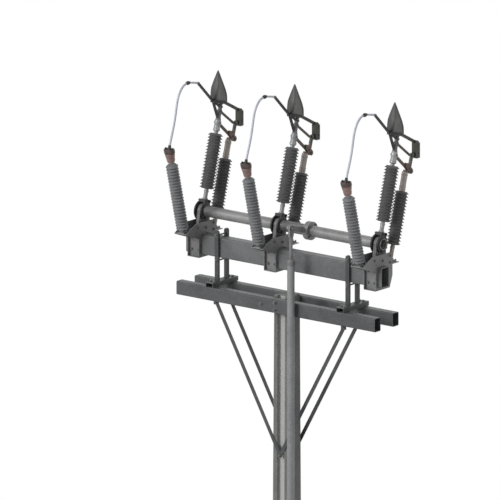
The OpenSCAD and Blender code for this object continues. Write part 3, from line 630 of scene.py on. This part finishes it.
def fitting_profile(low, high, stem_r, flange_r=0.0, flange_h=0.014, collar_at=()):
    outline = [(0.0, low)]
    if flange_r:
        outline += [(flange_r - 0.002, low), (flange_r, low + 0.002), (flange_r, low + flange_h - 0.002),
                    (flange_r - 0.002, low + flange_h)]
    else:
        outline += [(stem_r, low)]
    outline += [(stem_r, low + flange_h)]
    for z in collar_at:
        ring_r = stem_r + 0.004
        outline += [(stem_r, z - 0.008), (ring_r, z - 0.006), (ring_r, z + 0.006), (stem_r, z + 0.008)]
    return outline + [(stem_r, high - 0.002), (stem_r - 0.002, high), (0.0, high)]


FRONT_FOOT, FRONT_BODY, FRONT_R, FRONT_SHEDS = 0.027, 0.763, 0.068, 22
print("front outline has", len(shed_profile(FRONT_FOOT, FRONT_BODY, FRONT_R, FRONT_SHEDS)), "points")

# %% Front, rear and moving insulators
STEM_R, REAR_TOP_R, FLANGE_R, LAP = 0.023, 0.033, 0.031, 0.002
CAP_LOW = FRONT_FOOT + FRONT_BODY + 0.030
REAR_FOOT, REAR_BODY, REAR_R, REAR_SHEDS = 0.155, 0.575, 0.078, 17
REAR_TOP = REAR_SEAT + REAR_FOOT + REAR_BODY
JAW_S = REAR_TOP + 0.210
CLAMP_UP, MOVING_UP, MOVING_BODY, MOVING_R, MOVING_SHEDS, MOVING_STEM = 0.124, 0.238, 0.600, 0.081, 18, 0.024
MOVING_TOP = MOVING_UP + MOVING_BODY + MOVING_STEM
REAR_COLLARS, MOVING_COLLARS = (0.125, 0.755, 0.780, 0.905), (0.085,)
for phase, x in PHASES.items():
    rows = [
        ("front", "frame", front_silicone, bright_steel, front_frame(x),
         (FRONT_FOOT, FRONT_BODY, FRONT_R, FRONT_SHEDS), (CAP_LOW, STEM_R), ()),
        ("rear", "frame", silicone, rear_steel, moving_frame(x, REAR_T, REAR_SEAT),
         (REAR_FOOT, REAR_BODY, REAR_R, REAR_SHEDS), (JAW_S - REAR_SEAT, REAR_TOP_R), REAR_COLLARS),
        ("moving", "rocker", silicone, bright_steel, moving_frame(x, 0.0, CLAMP_UP),
         (MOVING_UP - CLAMP_UP, MOVING_BODY, MOVING_R, MOVING_SHEDS), (MOVING_TOP - CLAMP_UP, STEM_R),
         MOVING_COLLARS),
    ]
    for kind, body, rubber, steel, place_at, sheds, (top, top_r), collars in rows:
        foot, length = sheds[:2]
        node_name = f"{kind}_insulator_{phase}"
        finish_piece(f"{kind}_sheds_{phase}", lathe(shed_profile(*sheds), place_at), body, [rubber],
                     [node_name])
        low = lathe(fitting_profile(0.0, foot + LAP, STEM_R, FLANGE_R,
                                    collar_at=[c for c in collars if c < foot]), place_at, 28)
        high = lathe(fitting_profile(foot + length - LAP, top, top_r,
                                     collar_at=[c for c in collars if c > foot]), place_at, 28)
        finish_piece(f"{kind}_fittings_{phase}", gather([low, high]), body, [steel],
                     [node_name])

# %% [markdown]
# ## Arc hoods
# The arc hood is a leaf-shaped moulding over the breaking contacts. We fill its outline as one face,
# extrude it to its thickness, round its corners with a bevel, and inset both sides for the shallow panel.
# Its upper part is then squeezed towards a thin tip, as a mould would draw it.

# %% Hood outline and shell
HOOD_UP, HOOD_H, HOOD_T, HOOD_FRONT, HOOD_BACK, HOOD_NOSE = 1.190, 0.320, 0.090, 0.140, 0.050, 0.017
HOOD_SHOULDER, HOOD_TIP_T, HOOD_ROUND, HOOD_EDGE = 0.140, 0.014, 0.030, 0.003
PANEL_RIM, PANEL_SLOPE, PANEL_DEEP = 0.014, 0.004, 0.005
hood_outline = [(-HOOD_FRONT, 0.0), (-HOOD_FRONT - HOOD_NOSE, 0.33), (-HOOD_FRONT - 0.7 * HOOD_NOSE, 0.67),
                (-HOOD_FRONT, 1.0), (-0.66 * HOOD_FRONT, 0.78), (-0.5 * HOOD_BACK, 0.46),
                (0.6 * HOOD_BACK, 0.23), (HOOD_BACK, 0.0)]


def soften(bm, width, segments=2, angle=40):
    """Bevels every edge that turns by more than an angle."""
    edges = [e for e in bm.edges if len(e.link_faces) == 2 and e.calc_face_angle() > radians(angle)]
    bevel(bm, edges, width, segments)


def hood_shell():
    bm = bmesh.new()
    face = bm.faces.new([bm.verts.new((-HOOD_T / 2, t, HOOD_UP + part * HOOD_H)) for t, part in hood_outline])
    grown = bmesh.ops.extrude_face_region(bm, geom=[face])
    bmesh.ops.translate(bm, vec=(HOOD_T, 0, 0),
                        verts=[v for v in grown["geom"] if isinstance(v, bmesh.types.BMVert)])
    bmesh.ops.recalc_face_normals(bm, faces=bm.faces)
    corners = [e for e in bm.edges if abs(e.verts[0].co.x - e.verts[1].co.x) > HOOD_T / 2
               and HOOD_UP + 0.01 < e.verts[0].co.z < HOOD_UP + HOOD_H - 0.01]
    bevel(bm, corners, HOOD_ROUND, 4)
    sides = [f for f in bm.faces if abs(f.normal.x) > 0.9]
    bmesh.ops.inset_individual(bm, faces=sides, thickness=PANEL_RIM, depth=0.0)
    bmesh.ops.inset_individual(bm, faces=sides, thickness=PANEL_SLOPE, depth=-PANEL_DEEP)
    for panel in sides:
        panel.material_index = 1
    soften(bm, HOOD_EDGE)
    for vert in bm.verts:
        drawn = (vert.co.z - HOOD_UP - HOOD_SHOULDER) / (HOOD_H - HOOD_SHOULDER)
        vert.co.x *= 1.0 - max(0.0, drawn) * (1.0 - HOOD_TIP_T / HOOD_T)
    return bm


trial = hood_shell()
print("hood faces:", len(trial.faces))
trial.free()

# %% Hoods on the phases
for phase, x in PHASES.items():
    shell = hood_shell()
    bmesh.ops.transform(shell, matrix=moving_frame(x), verts=shell.verts)
    finish_piece(f"arc_hood_shell_{phase}", shell, "rocker", [hood_moulding, hood_panel],
                 [f"arc_hood_{phase}"])
print("hoods:", len(PHASES))

# %% [markdown]
# ## Moving contacts
# The head on the moving insulator is a turned casting, and a darker stem stands on it. From the head a
# strut and the stem carry the hood on a short saddle, a bar goes out to the lead, and two blades reach back
# to the fixed contacts. A flat bar with round ends is a stretched cube whose end edges are bevelled by
# almost half its width.

# %% Flat bars
BAR_EDGE, END_ROUND = 0.0015, 0.49


def block(size):
    """A cube stretched to a size."""
    bm = bmesh.new()
    bmesh.ops.create_cube(bm, size=1.0)
    bmesh.ops.scale(bm, vec=size, verts=bm.verts)
    return bm


def flat_bar(start, end, width, thick, place_at):
    """A bar with round ends from (t, s) to (t, s) in a tilted frame."""
    way = Vector(end) - Vector(start)
    middle = (Vector(start) + Vector(end)) / 2
    bm = block((thick, way.length + width, width))
    ends = [e for e in bm.edges if abs(e.verts[0].co.x - e.verts[1].co.x) > thick / 2]
    bevel(bm, ends, width * END_ROUND, 6)
    soften(bm, BAR_EDGE, 1, 60)
    turn = Matrix.Rotation(Vector((1.0, 0.0)).angle_signed(way, 0.0) * -1.0, 4, "X")
    bmesh.ops.transform(bm, matrix=place_at @ Matrix.Translation((0, middle.x, middle.y)) @ turn,
                        verts=bm.verts)
    return bm


trial = flat_bar((0, 0), (0, 1), 0.03, 0.01, Matrix())
print("an upright bar reaches from", round(min(v.co.z for v in trial.verts), 3), "to",
      round(max(v.co.z for v in trial.verts), 3))
trial.free()

# %% Heads, bars and blades
HEAD_H, STEM_H = 0.126, HOOD_UP - MOVING_TOP
BAR_W, UPPER_W, LOWER_W, BLADE_T = 0.024, 0.027, 0.034, 0.012
BAR_ROOT, BAR_END = (-HOOD_FRONT, HOOD_UP - 0.017), (-0.454, HOOD_UP + 0.156)
STRUT_TOP = (0.0, HOOD_UP - 0.062)
UPPER_BLADE = ((0.0, HOOD_UP - 0.106), (REAR_T + 0.026, HOOD_UP - 0.213))
LOWER_BLADE = ((0.0, MOVING_TOP + 0.75 * HEAD_H), (REAR_T, REAR_TOP + 0.258))
SADDLE_SIZE, SADDLE_T, SADDLE_DOWN, SADDLE_EDGE = (0.062, 0.166, 0.032), -0.068, 0.014, 0.005
head_outline = [
    (0.0, 0.0), (0.030, 0.0), (0.037, 0.006), (0.037, 0.030), (0.033, 0.036), (0.033, HEAD_H * 0.55),
    (0.036, HEAD_H * 0.62), (0.036, HEAD_H * 0.85), (0.031, HEAD_H), (0.024, HEAD_H + 0.030),
    (0.0225, HEAD_H + 0.120), (0.021, STEM_H - 0.030), (0.027, STEM_H - 0.024), (0.027, STEM_H - 0.002),
    (0.0, STEM_H - 0.002),
]
for phase, x in PHASES.items():
    at, seat, nodes = moving_frame(x), moving_frame(x, 0.0, MOVING_TOP), [f"moving_contact_{phase}"]
    head = lathe(head_outline, seat)
    for face in head.faces:
        face.material_index = int((seat.inverted() @ face.calc_center_median()).z > HEAD_H)
    finish_piece(f"moving_head_{phase}", head, "rocker", [bright_steel, beam_zinc], nodes)
    bars = [flat_bar(start, end, BAR_W, BAR_W, at) for start, end in (
        ((0.0, MOVING_TOP + HEAD_H), BAR_ROOT), (BAR_ROOT, BAR_END), (BAR_ROOT, STRUT_TOP))]
    finish_piece(f"lead_bar_{phase}", gather(bars), "rocker", [black_iron], nodes)
    saddle = block(SADDLE_SIZE)
    soften(saddle, SADDLE_EDGE)
    bmesh.ops.transform(saddle, matrix=moving_frame(x, SADDLE_T, HOOD_UP - SADDLE_DOWN), verts=saddle.verts)
    finish_piece(f"hood_saddle_{phase}", saddle, "rocker", [black_iron], nodes)
    blades = [flat_bar(*UPPER_BLADE, UPPER_W, BLADE_T, at), flat_bar(*LOWER_BLADE, LOWER_W, BLADE_T, at)]
    finish_piece(f"blades_{phase}", gather(blades), "rocker", [copper], nodes)
print("moving contacts:", len(PHASES))

# %% [markdown]
# ## Front terminals
# The terminal on a front insulator is a brown glazed cap that widens upward. A dark clamp bar on it grips
# the lead between two bolts. The cap is turned, and the bar is a cube with its corners bevelled round.

# %% Terminal caps and clamp bars
CAP_H, CLAMP_BAR, CLAMP_ROUND, CLAMP_EDGE = 0.105, (0.128, 0.084, 0.044), 0.0405, 0.004
CLAMP_H = CLAMP_BAR[2]
cap_outline = [(0.0, 0.0), (0.039, 0.0), (0.042, 0.003), (0.0435, 0.020), (0.0465, 0.024), (0.0465, 0.034),
               (0.0455, 0.038), (0.0495, 0.064), (0.0525, 0.068), (0.0525, 0.078), (0.0515, 0.082),
               (0.0560, 0.094), (0.056, CAP_H - 0.003), (0.053, CAP_H), (0.0, CAP_H)]
for phase, x in PHASES.items():
    nodes = [f"front_terminal_{phase}"]
    cap = lathe(cap_outline, front_frame(x, CAP_LOW))
    finish_piece(f"terminal_cap_{phase}", cap, "frame", [brown_glaze], nodes)
    bar = block(CLAMP_BAR)
    bevel(bar, [e for e in bar.edges if abs(e.verts[0].co.z - e.verts[1].co.z) > CLAMP_H / 2], CLAMP_ROUND, 6)
    soften(bar, CLAMP_EDGE, 2, 60)
    bmesh.ops.transform(bar, matrix=front_frame(x, CAP_LOW + CAP_H + CLAMP_H / 2), verts=bar.verts)
    finish_piece(f"clamp_bar_{phase}", bar, "frame", [cap_bronze], nodes)
print("front terminals:", len(PHASES))

# %% [markdown]
# ## Fasteners
# Bolts tell the eye how big the switch is and how it is held together. One bolt is a washer, a six-sided
# head with a bevelled rim and a stub of thread. We place it by a point and a direction, and join the bolts
# of each group into one mesh, so that the scene stays light.


# %% One hex bolt
def facing(spot, way):
    """A frame at a point whose Z looks along a direction."""
    return Matrix.Translation(spot) @ Vector((0, 0, 1)).rotation_difference(Vector(way)).to_matrix().to_4x4()


def disc(radius, depth, low, segments):
    """A short cylinder that stands on a height."""
    bm = bmesh.new()
    bmesh.ops.create_cone(bm, cap_ends=True, cap_tris=False, segments=segments, radius1=radius,
                          radius2=radius, depth=depth)
    bmesh.ops.translate(bm, vec=(0, 0, low + depth / 2), verts=bm.verts)
    return bm


def hex_bolt(place_at, r):
    washer = disc(1.35 * r, 0.22 * r, -0.05 * r, 18)
    head = disc(r, 0.75 * r, 0.15 * r, 6)
    bevel(head, [e for e in head.edges if all(v.co.z > 0.8 * r for v in e.verts)], 0.14 * r, 1)
    thread = disc(0.52 * r, 0.5 * r, 0.85 * r, 10)
    bolt = gather([washer, head, thread])
    bmesh.ops.transform(bolt, matrix=place_at, verts=bolt.verts)
    return bolt


trial = hex_bolt(Matrix(), 0.012)
print("one bolt has", len(trial.faces), "faces")
trial.free()


# %% Groups of bolts
def bolt_pair(x, front, back, z, r):
    """A bolt on a front face and one on a back face."""
    return [hex_bolt(facing((x, front, z), (0, -1, 0)), r), hex_bolt(facing((x, back, z), (0, 1, 0)), r)]


def tie_rod(start, end, r):
    """A round rod between two points."""
    way = Vector(end) - Vector(start)
    rod = disc(r, way.length, 0.0, 14)
    bmesh.ops.transform(rod, matrix=facing(start, way), verts=rod.verts)
    return rod


def side_bolt(x, side, t, s, off, r):
    """A bolt on the left or right side of a piece, placed in its phase's moving frame."""
    return hex_bolt(facing(moving_frame(x, t, s) @ Vector((side * off, 0, 0)), (side, 0, 0)), r)


def bolt_group(name, bolts, body, look):
    return finish_piece(name, gather(bolts), body, [look], sharp=30)


print("helpers: bolt_pair, tie_rod, side_bolt, bolt_group")

# %% Bolts of the crossarms, saddles and posts
ARM_FRONT, ARM_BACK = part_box("front_crossarm")[0].y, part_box("back_crossarm")[1].y
POST_FRONT, POST_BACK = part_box("posts_left")[0].y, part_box("posts_left")[1].y
SADDLE_TOP, BEAM_BOTTOM, SADDLE_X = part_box("saddle_left")[1].z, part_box("main_beam")[0].z, 0.890
ARM_ROD_X, ARM_ROD_R, ARM_BOLT_UP, ARM_BOLT_R = 0.19, 0.010, 0.038, 0.019
SADDLE_BOLT_X, SADDLE_BOLT_Y, SADDLE_BOLT_R = 0.026, 0.155, 0.014
POST_LOW, POST_HIGH, POST_ROD_R, POST_BOLT_R = BEAM_BOTTOM - 0.030, BEAM_TOP + 0.028, 0.009, 0.016
bolts = []
for x in (-ARM_ROD_X, ARM_ROD_X):
    bolts.append(tie_rod((x, ARM_FRONT, ARM_Z), (x, ARM_BACK, ARM_Z), ARM_ROD_R))
    bolts += bolt_pair(x, ARM_FRONT, ARM_BACK, ARM_Z, ARM_BOLT_R)
for up in (-ARM_BOLT_UP, ARM_BOLT_UP):
    bolts += bolt_pair(0.0, ARM_FRONT, ARM_BACK, ARM_Z + up, ARM_BOLT_R)
for x in (-SADDLE_X, SADDLE_X):
    bolts += [hex_bolt(facing((x + dx, y, SADDLE_TOP), (0, 0, 1)), SADDLE_BOLT_R)
              for y in (-SADDLE_BOLT_Y, SADDLE_BOLT_Y) for dx in (-SADDLE_BOLT_X, SADDLE_BOLT_X)]
    for z in (POST_LOW, POST_HIGH):
        bolts.append(tie_rod((x, POST_FRONT, z), (x, POST_BACK, z), POST_ROD_R))
        bolts += bolt_pair(x, POST_FRONT, POST_BACK, z, POST_BOLT_R)
arm_bolts = bolt_group("arm_bolts", bolts, "frame", fastener)
print("crossarm bolts:", len(arm_bolts.data.polygons), "faces")

# %% Bolts of the braces, guides and pole
BRACE_X, LUG_Z, LUG_UNDER, LUG_FACE, LUG_MIDDLE, LUG_BOLT_R = 0.870, 8.891, 8.919, 0.042, 0.022, 0.012
APEX_Y, APEX_Z, APEX_BOLT_R = 0.126, 7.338, 0.015
GUIDE_ZS, GUIDE_X, GUIDE_T, GUIDE_HALF, GUIDE_BOLT_R = (2.5, 5.5), 0.075, 0.010, 0.03, 0.014
POLE_TOP, POLE_DEPTH, POLE_TAPER = 9.1, 0.205, 0.0085
bolts = []
for side, name in ((-1, "left"), (1, "right")):
    x, front, back = side * BRACE_X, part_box(f"brace_front_{name}")[0].y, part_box(f"brace_back_{name}")[1].y
    bolts += bolt_pair(x, front + LUG_FACE, back - LUG_FACE, LUG_Z, LUG_BOLT_R)
    bolts += [hex_bolt(facing((x, y, LUG_UNDER), (0, 0, -1)), LUG_BOLT_R)
              for y in (front + LUG_MIDDLE, back - LUG_MIDDLE)]
bolts += bolt_pair(0, -APEX_Y, APEX_Y, APEX_Z, APEX_BOLT_R)
for z in GUIDE_ZS:
    face = (POLE_DEPTH + POLE_TAPER * (POLE_TOP - z + GUIDE_HALF)) / 2 + GUIDE_T
    bolts += [hex_bolt(facing((dx, -face, z), (0, -1, 0)), GUIDE_BOLT_R) for dx in (-GUIDE_X, GUIDE_X)]
brace_bolts = bolt_group("brace_bolts", bolts, "frame", fastener)
print("brace and guide bolts:", len(brace_bolts.data.polygons), "faces")

# %% Bolts of the bases, insulator feet and terminals
CHEEK_BOLTS = ((-0.115, 0.085), (0.020, 0.060), (0.150, 0.095), (0.150, 0.020))
BASE_HALF, BASE_BOLT_R = 0.080, 0.013
LEG_X, LEG_WEB, LEG_DROPS = 0.042, 0.073, (0.050, 0.175)
FOOT_BOLT, FOOT_BOLT_R, CAP_BOLT_X, CAP_BOLT_R = 0.037, 0.008, 0.044, 0.012
for phase, x in PHASES.items():
    bolts = []
    for side in (-1, 1):
        bolts += [hex_bolt(facing((x + side * BASE_HALF, y, BEAM_TOP + up), (side, 0, 0)), BASE_BOLT_R)
                  for y, up in CHEEK_BOLTS]
        for drop in LEG_DROPS:
            bolts += bolt_pair(x + side * LEG_X, -LEG_WEB, LEG_WEB, BEAM_TOP - drop, BASE_BOLT_R)
    for foot in (front_frame(x), moving_frame(x, REAR_T, REAR_SEAT)):
        bolts += [hex_bolt(foot @ Matrix.Translation((dx, dy, 0)), FOOT_BOLT_R)
                  for dx in (-FOOT_BOLT, FOOT_BOLT) for dy in (-FOOT_BOLT, FOOT_BOLT)]
    bolt_group(f"base_bolts_{phase}", bolts, "frame", fastener)
    top = front_frame(x, CAP_LOW + CAP_H + CLAMP_H)
    caps = [hex_bolt(top @ Matrix.Translation((dx, 0, 0)), CAP_BOLT_R) for dx in (-CAP_BOLT_X, CAP_BOLT_X)]
    bolt_group(f"terminal_bolts_{phase}", caps, "frame", black_iron)
print("bases bolted:", len(PHASES))

# %% Bolts that rock with the shaft
CLAMP_FACE, CLAMP_EARS, EAR_UP, EAR_BOLT_R, RING_BOLT_R = 0.044, (-0.030, 0.030), 0.107, 0.012, 0.010
RINGS, RING_ANGLES = {-1: 0.085, 1: 0.075}, (205, 270, 335)
# Each row is a place in the moving frame, the distance from its middle and a bolt's radius.
HELD = ((*UPPER_BLADE[0], 0.0225, 0.010), (*LOWER_BLADE[0], 0.034, 0.011), (*BAR_ROOT, BAR_W / 2, 0.011),
        (*BAR_END, BAR_W / 2, 0.010), (*STRUT_TOP, 0.0215, 0.010))
for phase, x in PHASES.items():
    dark, light = [], []
    for side in (-1, 1):
        dark += [side_bolt(x, side, t, EAR_UP, CLAMP_FACE, EAR_BOLT_R) for t in CLAMP_EARS]
        dark += [side_bolt(x, side, RINGS[side] * cos(radians(a)), RINGS[side] * sin(radians(a)), CLAMP_FACE,
                           RING_BOLT_R) for a in RING_ANGLES]
        light += [side_bolt(x, side, *bolt) for bolt in HELD]
    bolt_group(f"clamp_bolts_{phase}", dark, "rocker", black_iron)
    bolt_group(f"contact_bolts_{phase}", light, "rocker", fastener)
print("rocking bolts on", len(PHASES), "phases")

# %% Bolts of the crank
CRANK_X, PIN_Y, PIN_Z, PIN_LONG, PIN_R = 0.232, -0.26635, 9.91052, 0.055, 0.018
HUB_OUT, HUB_RING, HUB_BOLT_R = 0.060, 0.080, 0.012
pins = [hex_bolt(facing((CRANK_X + PIN_LONG, PIN_Y, PIN_Z), (1, 0, 0)), PIN_R),
        hex_bolt(facing((CRANK_X, PIN_Y, PIN_Z), (-1, 0, 0)), PIN_R)]
for angle in (45, 135, 225, 315):
    y, z = SHAFT_Y + HUB_RING * cos(radians(angle)), SHAFT_Z + HUB_RING * sin(radians(angle))
    pins.append(hex_bolt(facing((CRANK_X + HUB_OUT, y, z), (1, 0, 0)), HUB_BOLT_R))
bolt_group("crank_bolts", pins, "rocker", fastener)
print("crank bolts:", len(pins))

# %% Bolts of the rear contacts
JAW_HALF, RISER_HALF = 0.017, 0.012
REAR_HELD = ((REAR_T + 0.090, JAW_S + 0.014, JAW_HALF, 0.014),
             (REAR_T + 0.048, JAW_S + 0.040, JAW_HALF, 0.010),
             (REAR_T + 0.068, HOOD_UP - 0.205, RISER_HALF, 0.010))
for phase, x in PHASES.items():
    bolts = [side_bolt(x, side, *bolt) for side in (-1, 1) for bolt in REAR_HELD]
    bolt_group(f"jaw_bolts_{phase}", bolts, "frame", fastener)
print("rear contacts bolted:", len(PHASES))

# %% [markdown]
# ## The rod's grip
# Whoever works the switch pulls on the cross grip near the ground. Dark ribbed sleeves on both its ends
# keep the hands from slipping. A sleeve is turned, like the insulators, with a few ribs in its outline.
# Higher up, a turned collar covers the step where the pipe ends and the rod's thinner neck begins.

# %% Grip sleeves and the neck's collar
ROD_X, GRIP_Z, GRIP_HALF, GRIP_R = CRANK_X + 0.032, 1.300, 0.170, 0.016
SLEEVE_START, RIBS, RIB_PITCH = GRIP_HALF - 0.112, 7, 0.014
NECK_Z = PIN_Z - 0.360
groove_r, rib_r = GRIP_R + 0.003, GRIP_R + 0.005
sleeve_outline = [(0.0, 0.0), (groove_r, 0.0), (rib_r, 0.002)]
for i in range(RIBS):
    rib = RIB_PITCH * i
    sleeve_outline += [(rib_r, 0.006 + rib), (groove_r, 0.009 + rib), (groove_r, 0.013 + rib),
                       (rib_r, 0.016 + rib)]
sleeve_outline += [(rib_r, 0.108), (GRIP_R + 0.002, 0.114), (0.0, 0.115)]
sleeves = [lathe(sleeve_outline, facing((ROD_X + side * SLEEVE_START, PIN_Y, GRIP_Z), (side, 0, 0)), 24)
           for side in (-1, 1)]
finish_piece("grip_sleeves", gather(sleeves), "rod", [black_iron])
collar_outline = [(0.0, 0.060), (0.022, 0.060), (0.024, 0.058), (0.026, 0.030), (0.040, 0.022),
                  (0.044, 0.016), (0.044, -0.040), (0.042, -0.044), (0.0, -0.044)]
collar = lathe(collar_outline, Matrix.Translation((ROD_X, PIN_Y, NECK_Z)), 28)
finish_piece("rod_collar", collar, "rod", [zinc])
print("grip sleeves:", len(sleeves), "and one collar")

# %% [markdown]
# ## Leads
# A braided lead joins each front terminal to the moving contact's bar, and both its ends are held. A ring of
# vertices is extruded along the route, one step after another.

# %% Tinned braid
braid = bpy.data.materials.new("lead_braid")
braid.use_nodes = True
tree = braid.node_tree
shader = tree.nodes["Principled BSDF"]
weave_uv = add_node(tree, "ShaderNodeUVMap")
strands = maths(tree, "MAXIMUM")
for number, turn in enumerate((1.0, -1.0)):
    slant = add_node(tree, "ShaderNodeMapping", {"Scale": (6.0 * turn, 60.0, 1.0)})
    wave = add_node(tree, "ShaderNodeTexWave", {"Scale": 1.0}, bands_direction="DIAGONAL")
    wire(tree, (weave_uv, "UV", slant, "Vector"), (slant, "Vector", wave, "Vector"),
         (wave, "Fac", strands, number))
strand_tone = colour_mix(tree, {MIX_A: tone(136, 140, 152), MIX_B: tone(184, 187, 197)})
strand_relief = add_node(tree, "ShaderNodeBump", {"Strength": 0.4, "Distance": RELIEF})
wire(tree, (strands, 0, strand_tone, "Factor"), (strands, 0, strand_relief, "Height"),
     (strand_tone, MIX_OUT, shader, "Base Color"), (strand_relief, "Normal", shader, "Normal"))
shader.inputs["Metallic"].default_value, shader.inputs["Roughness"].default_value = 0.35, 0.42
print("braid nodes:", len(tree.nodes))

# %% Route and tube
lead_route = [
    (-0.575, 0.768), (-0.568, 0.810), (-0.553, 0.860), (-0.528, 0.930), (-0.496, 1.025), (-0.468, 1.130),
    (-0.445, 1.240), (-0.420, 1.320), (-0.380, 1.385), (-0.325, 1.432), (-0.256, 1.448), (-0.180, 1.439),
    (-0.0975, 1.4205),
]
ROUTE_END = len(lead_route) - 1


def on_route(u, x=0.0):
    """A point on the smooth curve through the route, counted in route points."""
    i = min(int(u), ROUTE_END - 1)
    f = u - i
    a, b, c, d = (Vector(lead_route[max(0, min(ROUTE_END, i + k))]) for k in (-1, 0, 1, 2))
    p = (2 * b + (c - a) * f + (2 * a - 5 * b + 4 * c - d) * f ** 2 + (3 * b - a - 3 * c + d) * f ** 3) / 2
    return Vector((x, SHAFT_Y + p.x, SHAFT_Z + p.y))


def along_route(u, x):
    """A frame on the route whose Z runs along the lead."""
    way = (on_route(min(ROUTE_END, u + 0.05)) - on_route(max(0.0, u - 0.05))).normalized()
    side = Vector((1.0, 0.0, 0.0))
    return Matrix.Translation(on_route(u, x)) @ Matrix((side, way.cross(side), way)).transposed().to_4x4()


def lead_tube(x, radius=0.012, sides=12, steps=48):
    bm = bmesh.new()
    uv = bm.loops.layers.uv.new("UVMap")
    around, run = bm.verts.layers.float.new("around"), bm.verts.layers.float.new("run")
    bmesh.ops.create_circle(bm, cap_ends=False, segments=sides, radius=radius)
    for j, vert in enumerate(bm.verts):
        vert[around] = j / sides
    frames = [along_route(ROUTE_END * k / steps, x) for k in range(steps + 1)]
    bmesh.ops.transform(bm, matrix=frames[0], verts=bm.verts)
    rim, length = list(bm.edges), 0.0
    for last, here in zip(frames, frames[1:]):
        length += (here.translation - last.translation).length
        grown = bmesh.ops.extrude_edge_only(bm, edges=rim)["geom"]
        ring = [g for g in grown if isinstance(g, bmesh.types.BMVert)]
        rim = [g for g in grown if isinstance(g, bmesh.types.BMEdge)]
        bmesh.ops.transform(bm, matrix=here @ last.inverted(), verts=ring)
        for vert in ring:
            vert[run] = length
    for face in bm.faces:
        wraps = max(v[around] for v in face.verts) - min(v[around] for v in face.verts) > 0.5
        for loop in face.loops:
            across_u = loop.vert[around] + (1.0 if wraps and loop.vert[around] < 0.5 else 0.0)
            loop[uv].uv = (across_u, loop.vert[run])
    bmesh.ops.holes_fill(bm, edges=[e for e in bm.edges if e.is_boundary])
    return bm, length


trial, lead_length = lead_tube(0.0)
trial.free()
print("each lead is", round(lead_length, 3), "m long")

# %% Leads on the phases
BEAD_AT, BOOT_AT, BEND_FROM, BEND_TO = 10.0, 0.0, 0.6, 11.6
bead_outline = [(0.0, -0.030), (0.014, -0.030), (0.016, -0.026), (0.016, -0.014), (0.021, -0.010),
                (0.021, 0.010), (0.016, 0.014), (0.016, 0.026), (0.014, 0.030), (0.0, 0.030)]
boot_outline = [(0.0, -0.010), (0.022, -0.010), (0.022, 0.010), (0.019, 0.016), (0.015, 0.055),
                (0.012, 0.058), (0.0, 0.058)]
for phase, x in PHASES.items():
    tube, _ = lead_tube(x)
    bead = paint(lathe(bead_outline, along_route(BEAD_AT, x), 16), 1)
    boot = paint(lathe(boot_outline, along_route(BOOT_AT, x), 16), 1)
    lead = finish_piece(f"lead_braid_{phase}", gather([tube, bead, boot]), None, [braid, black_iron],
                        [f"lead_{phase}"])
    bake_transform(lead)
print("leads:", len(PHASES))
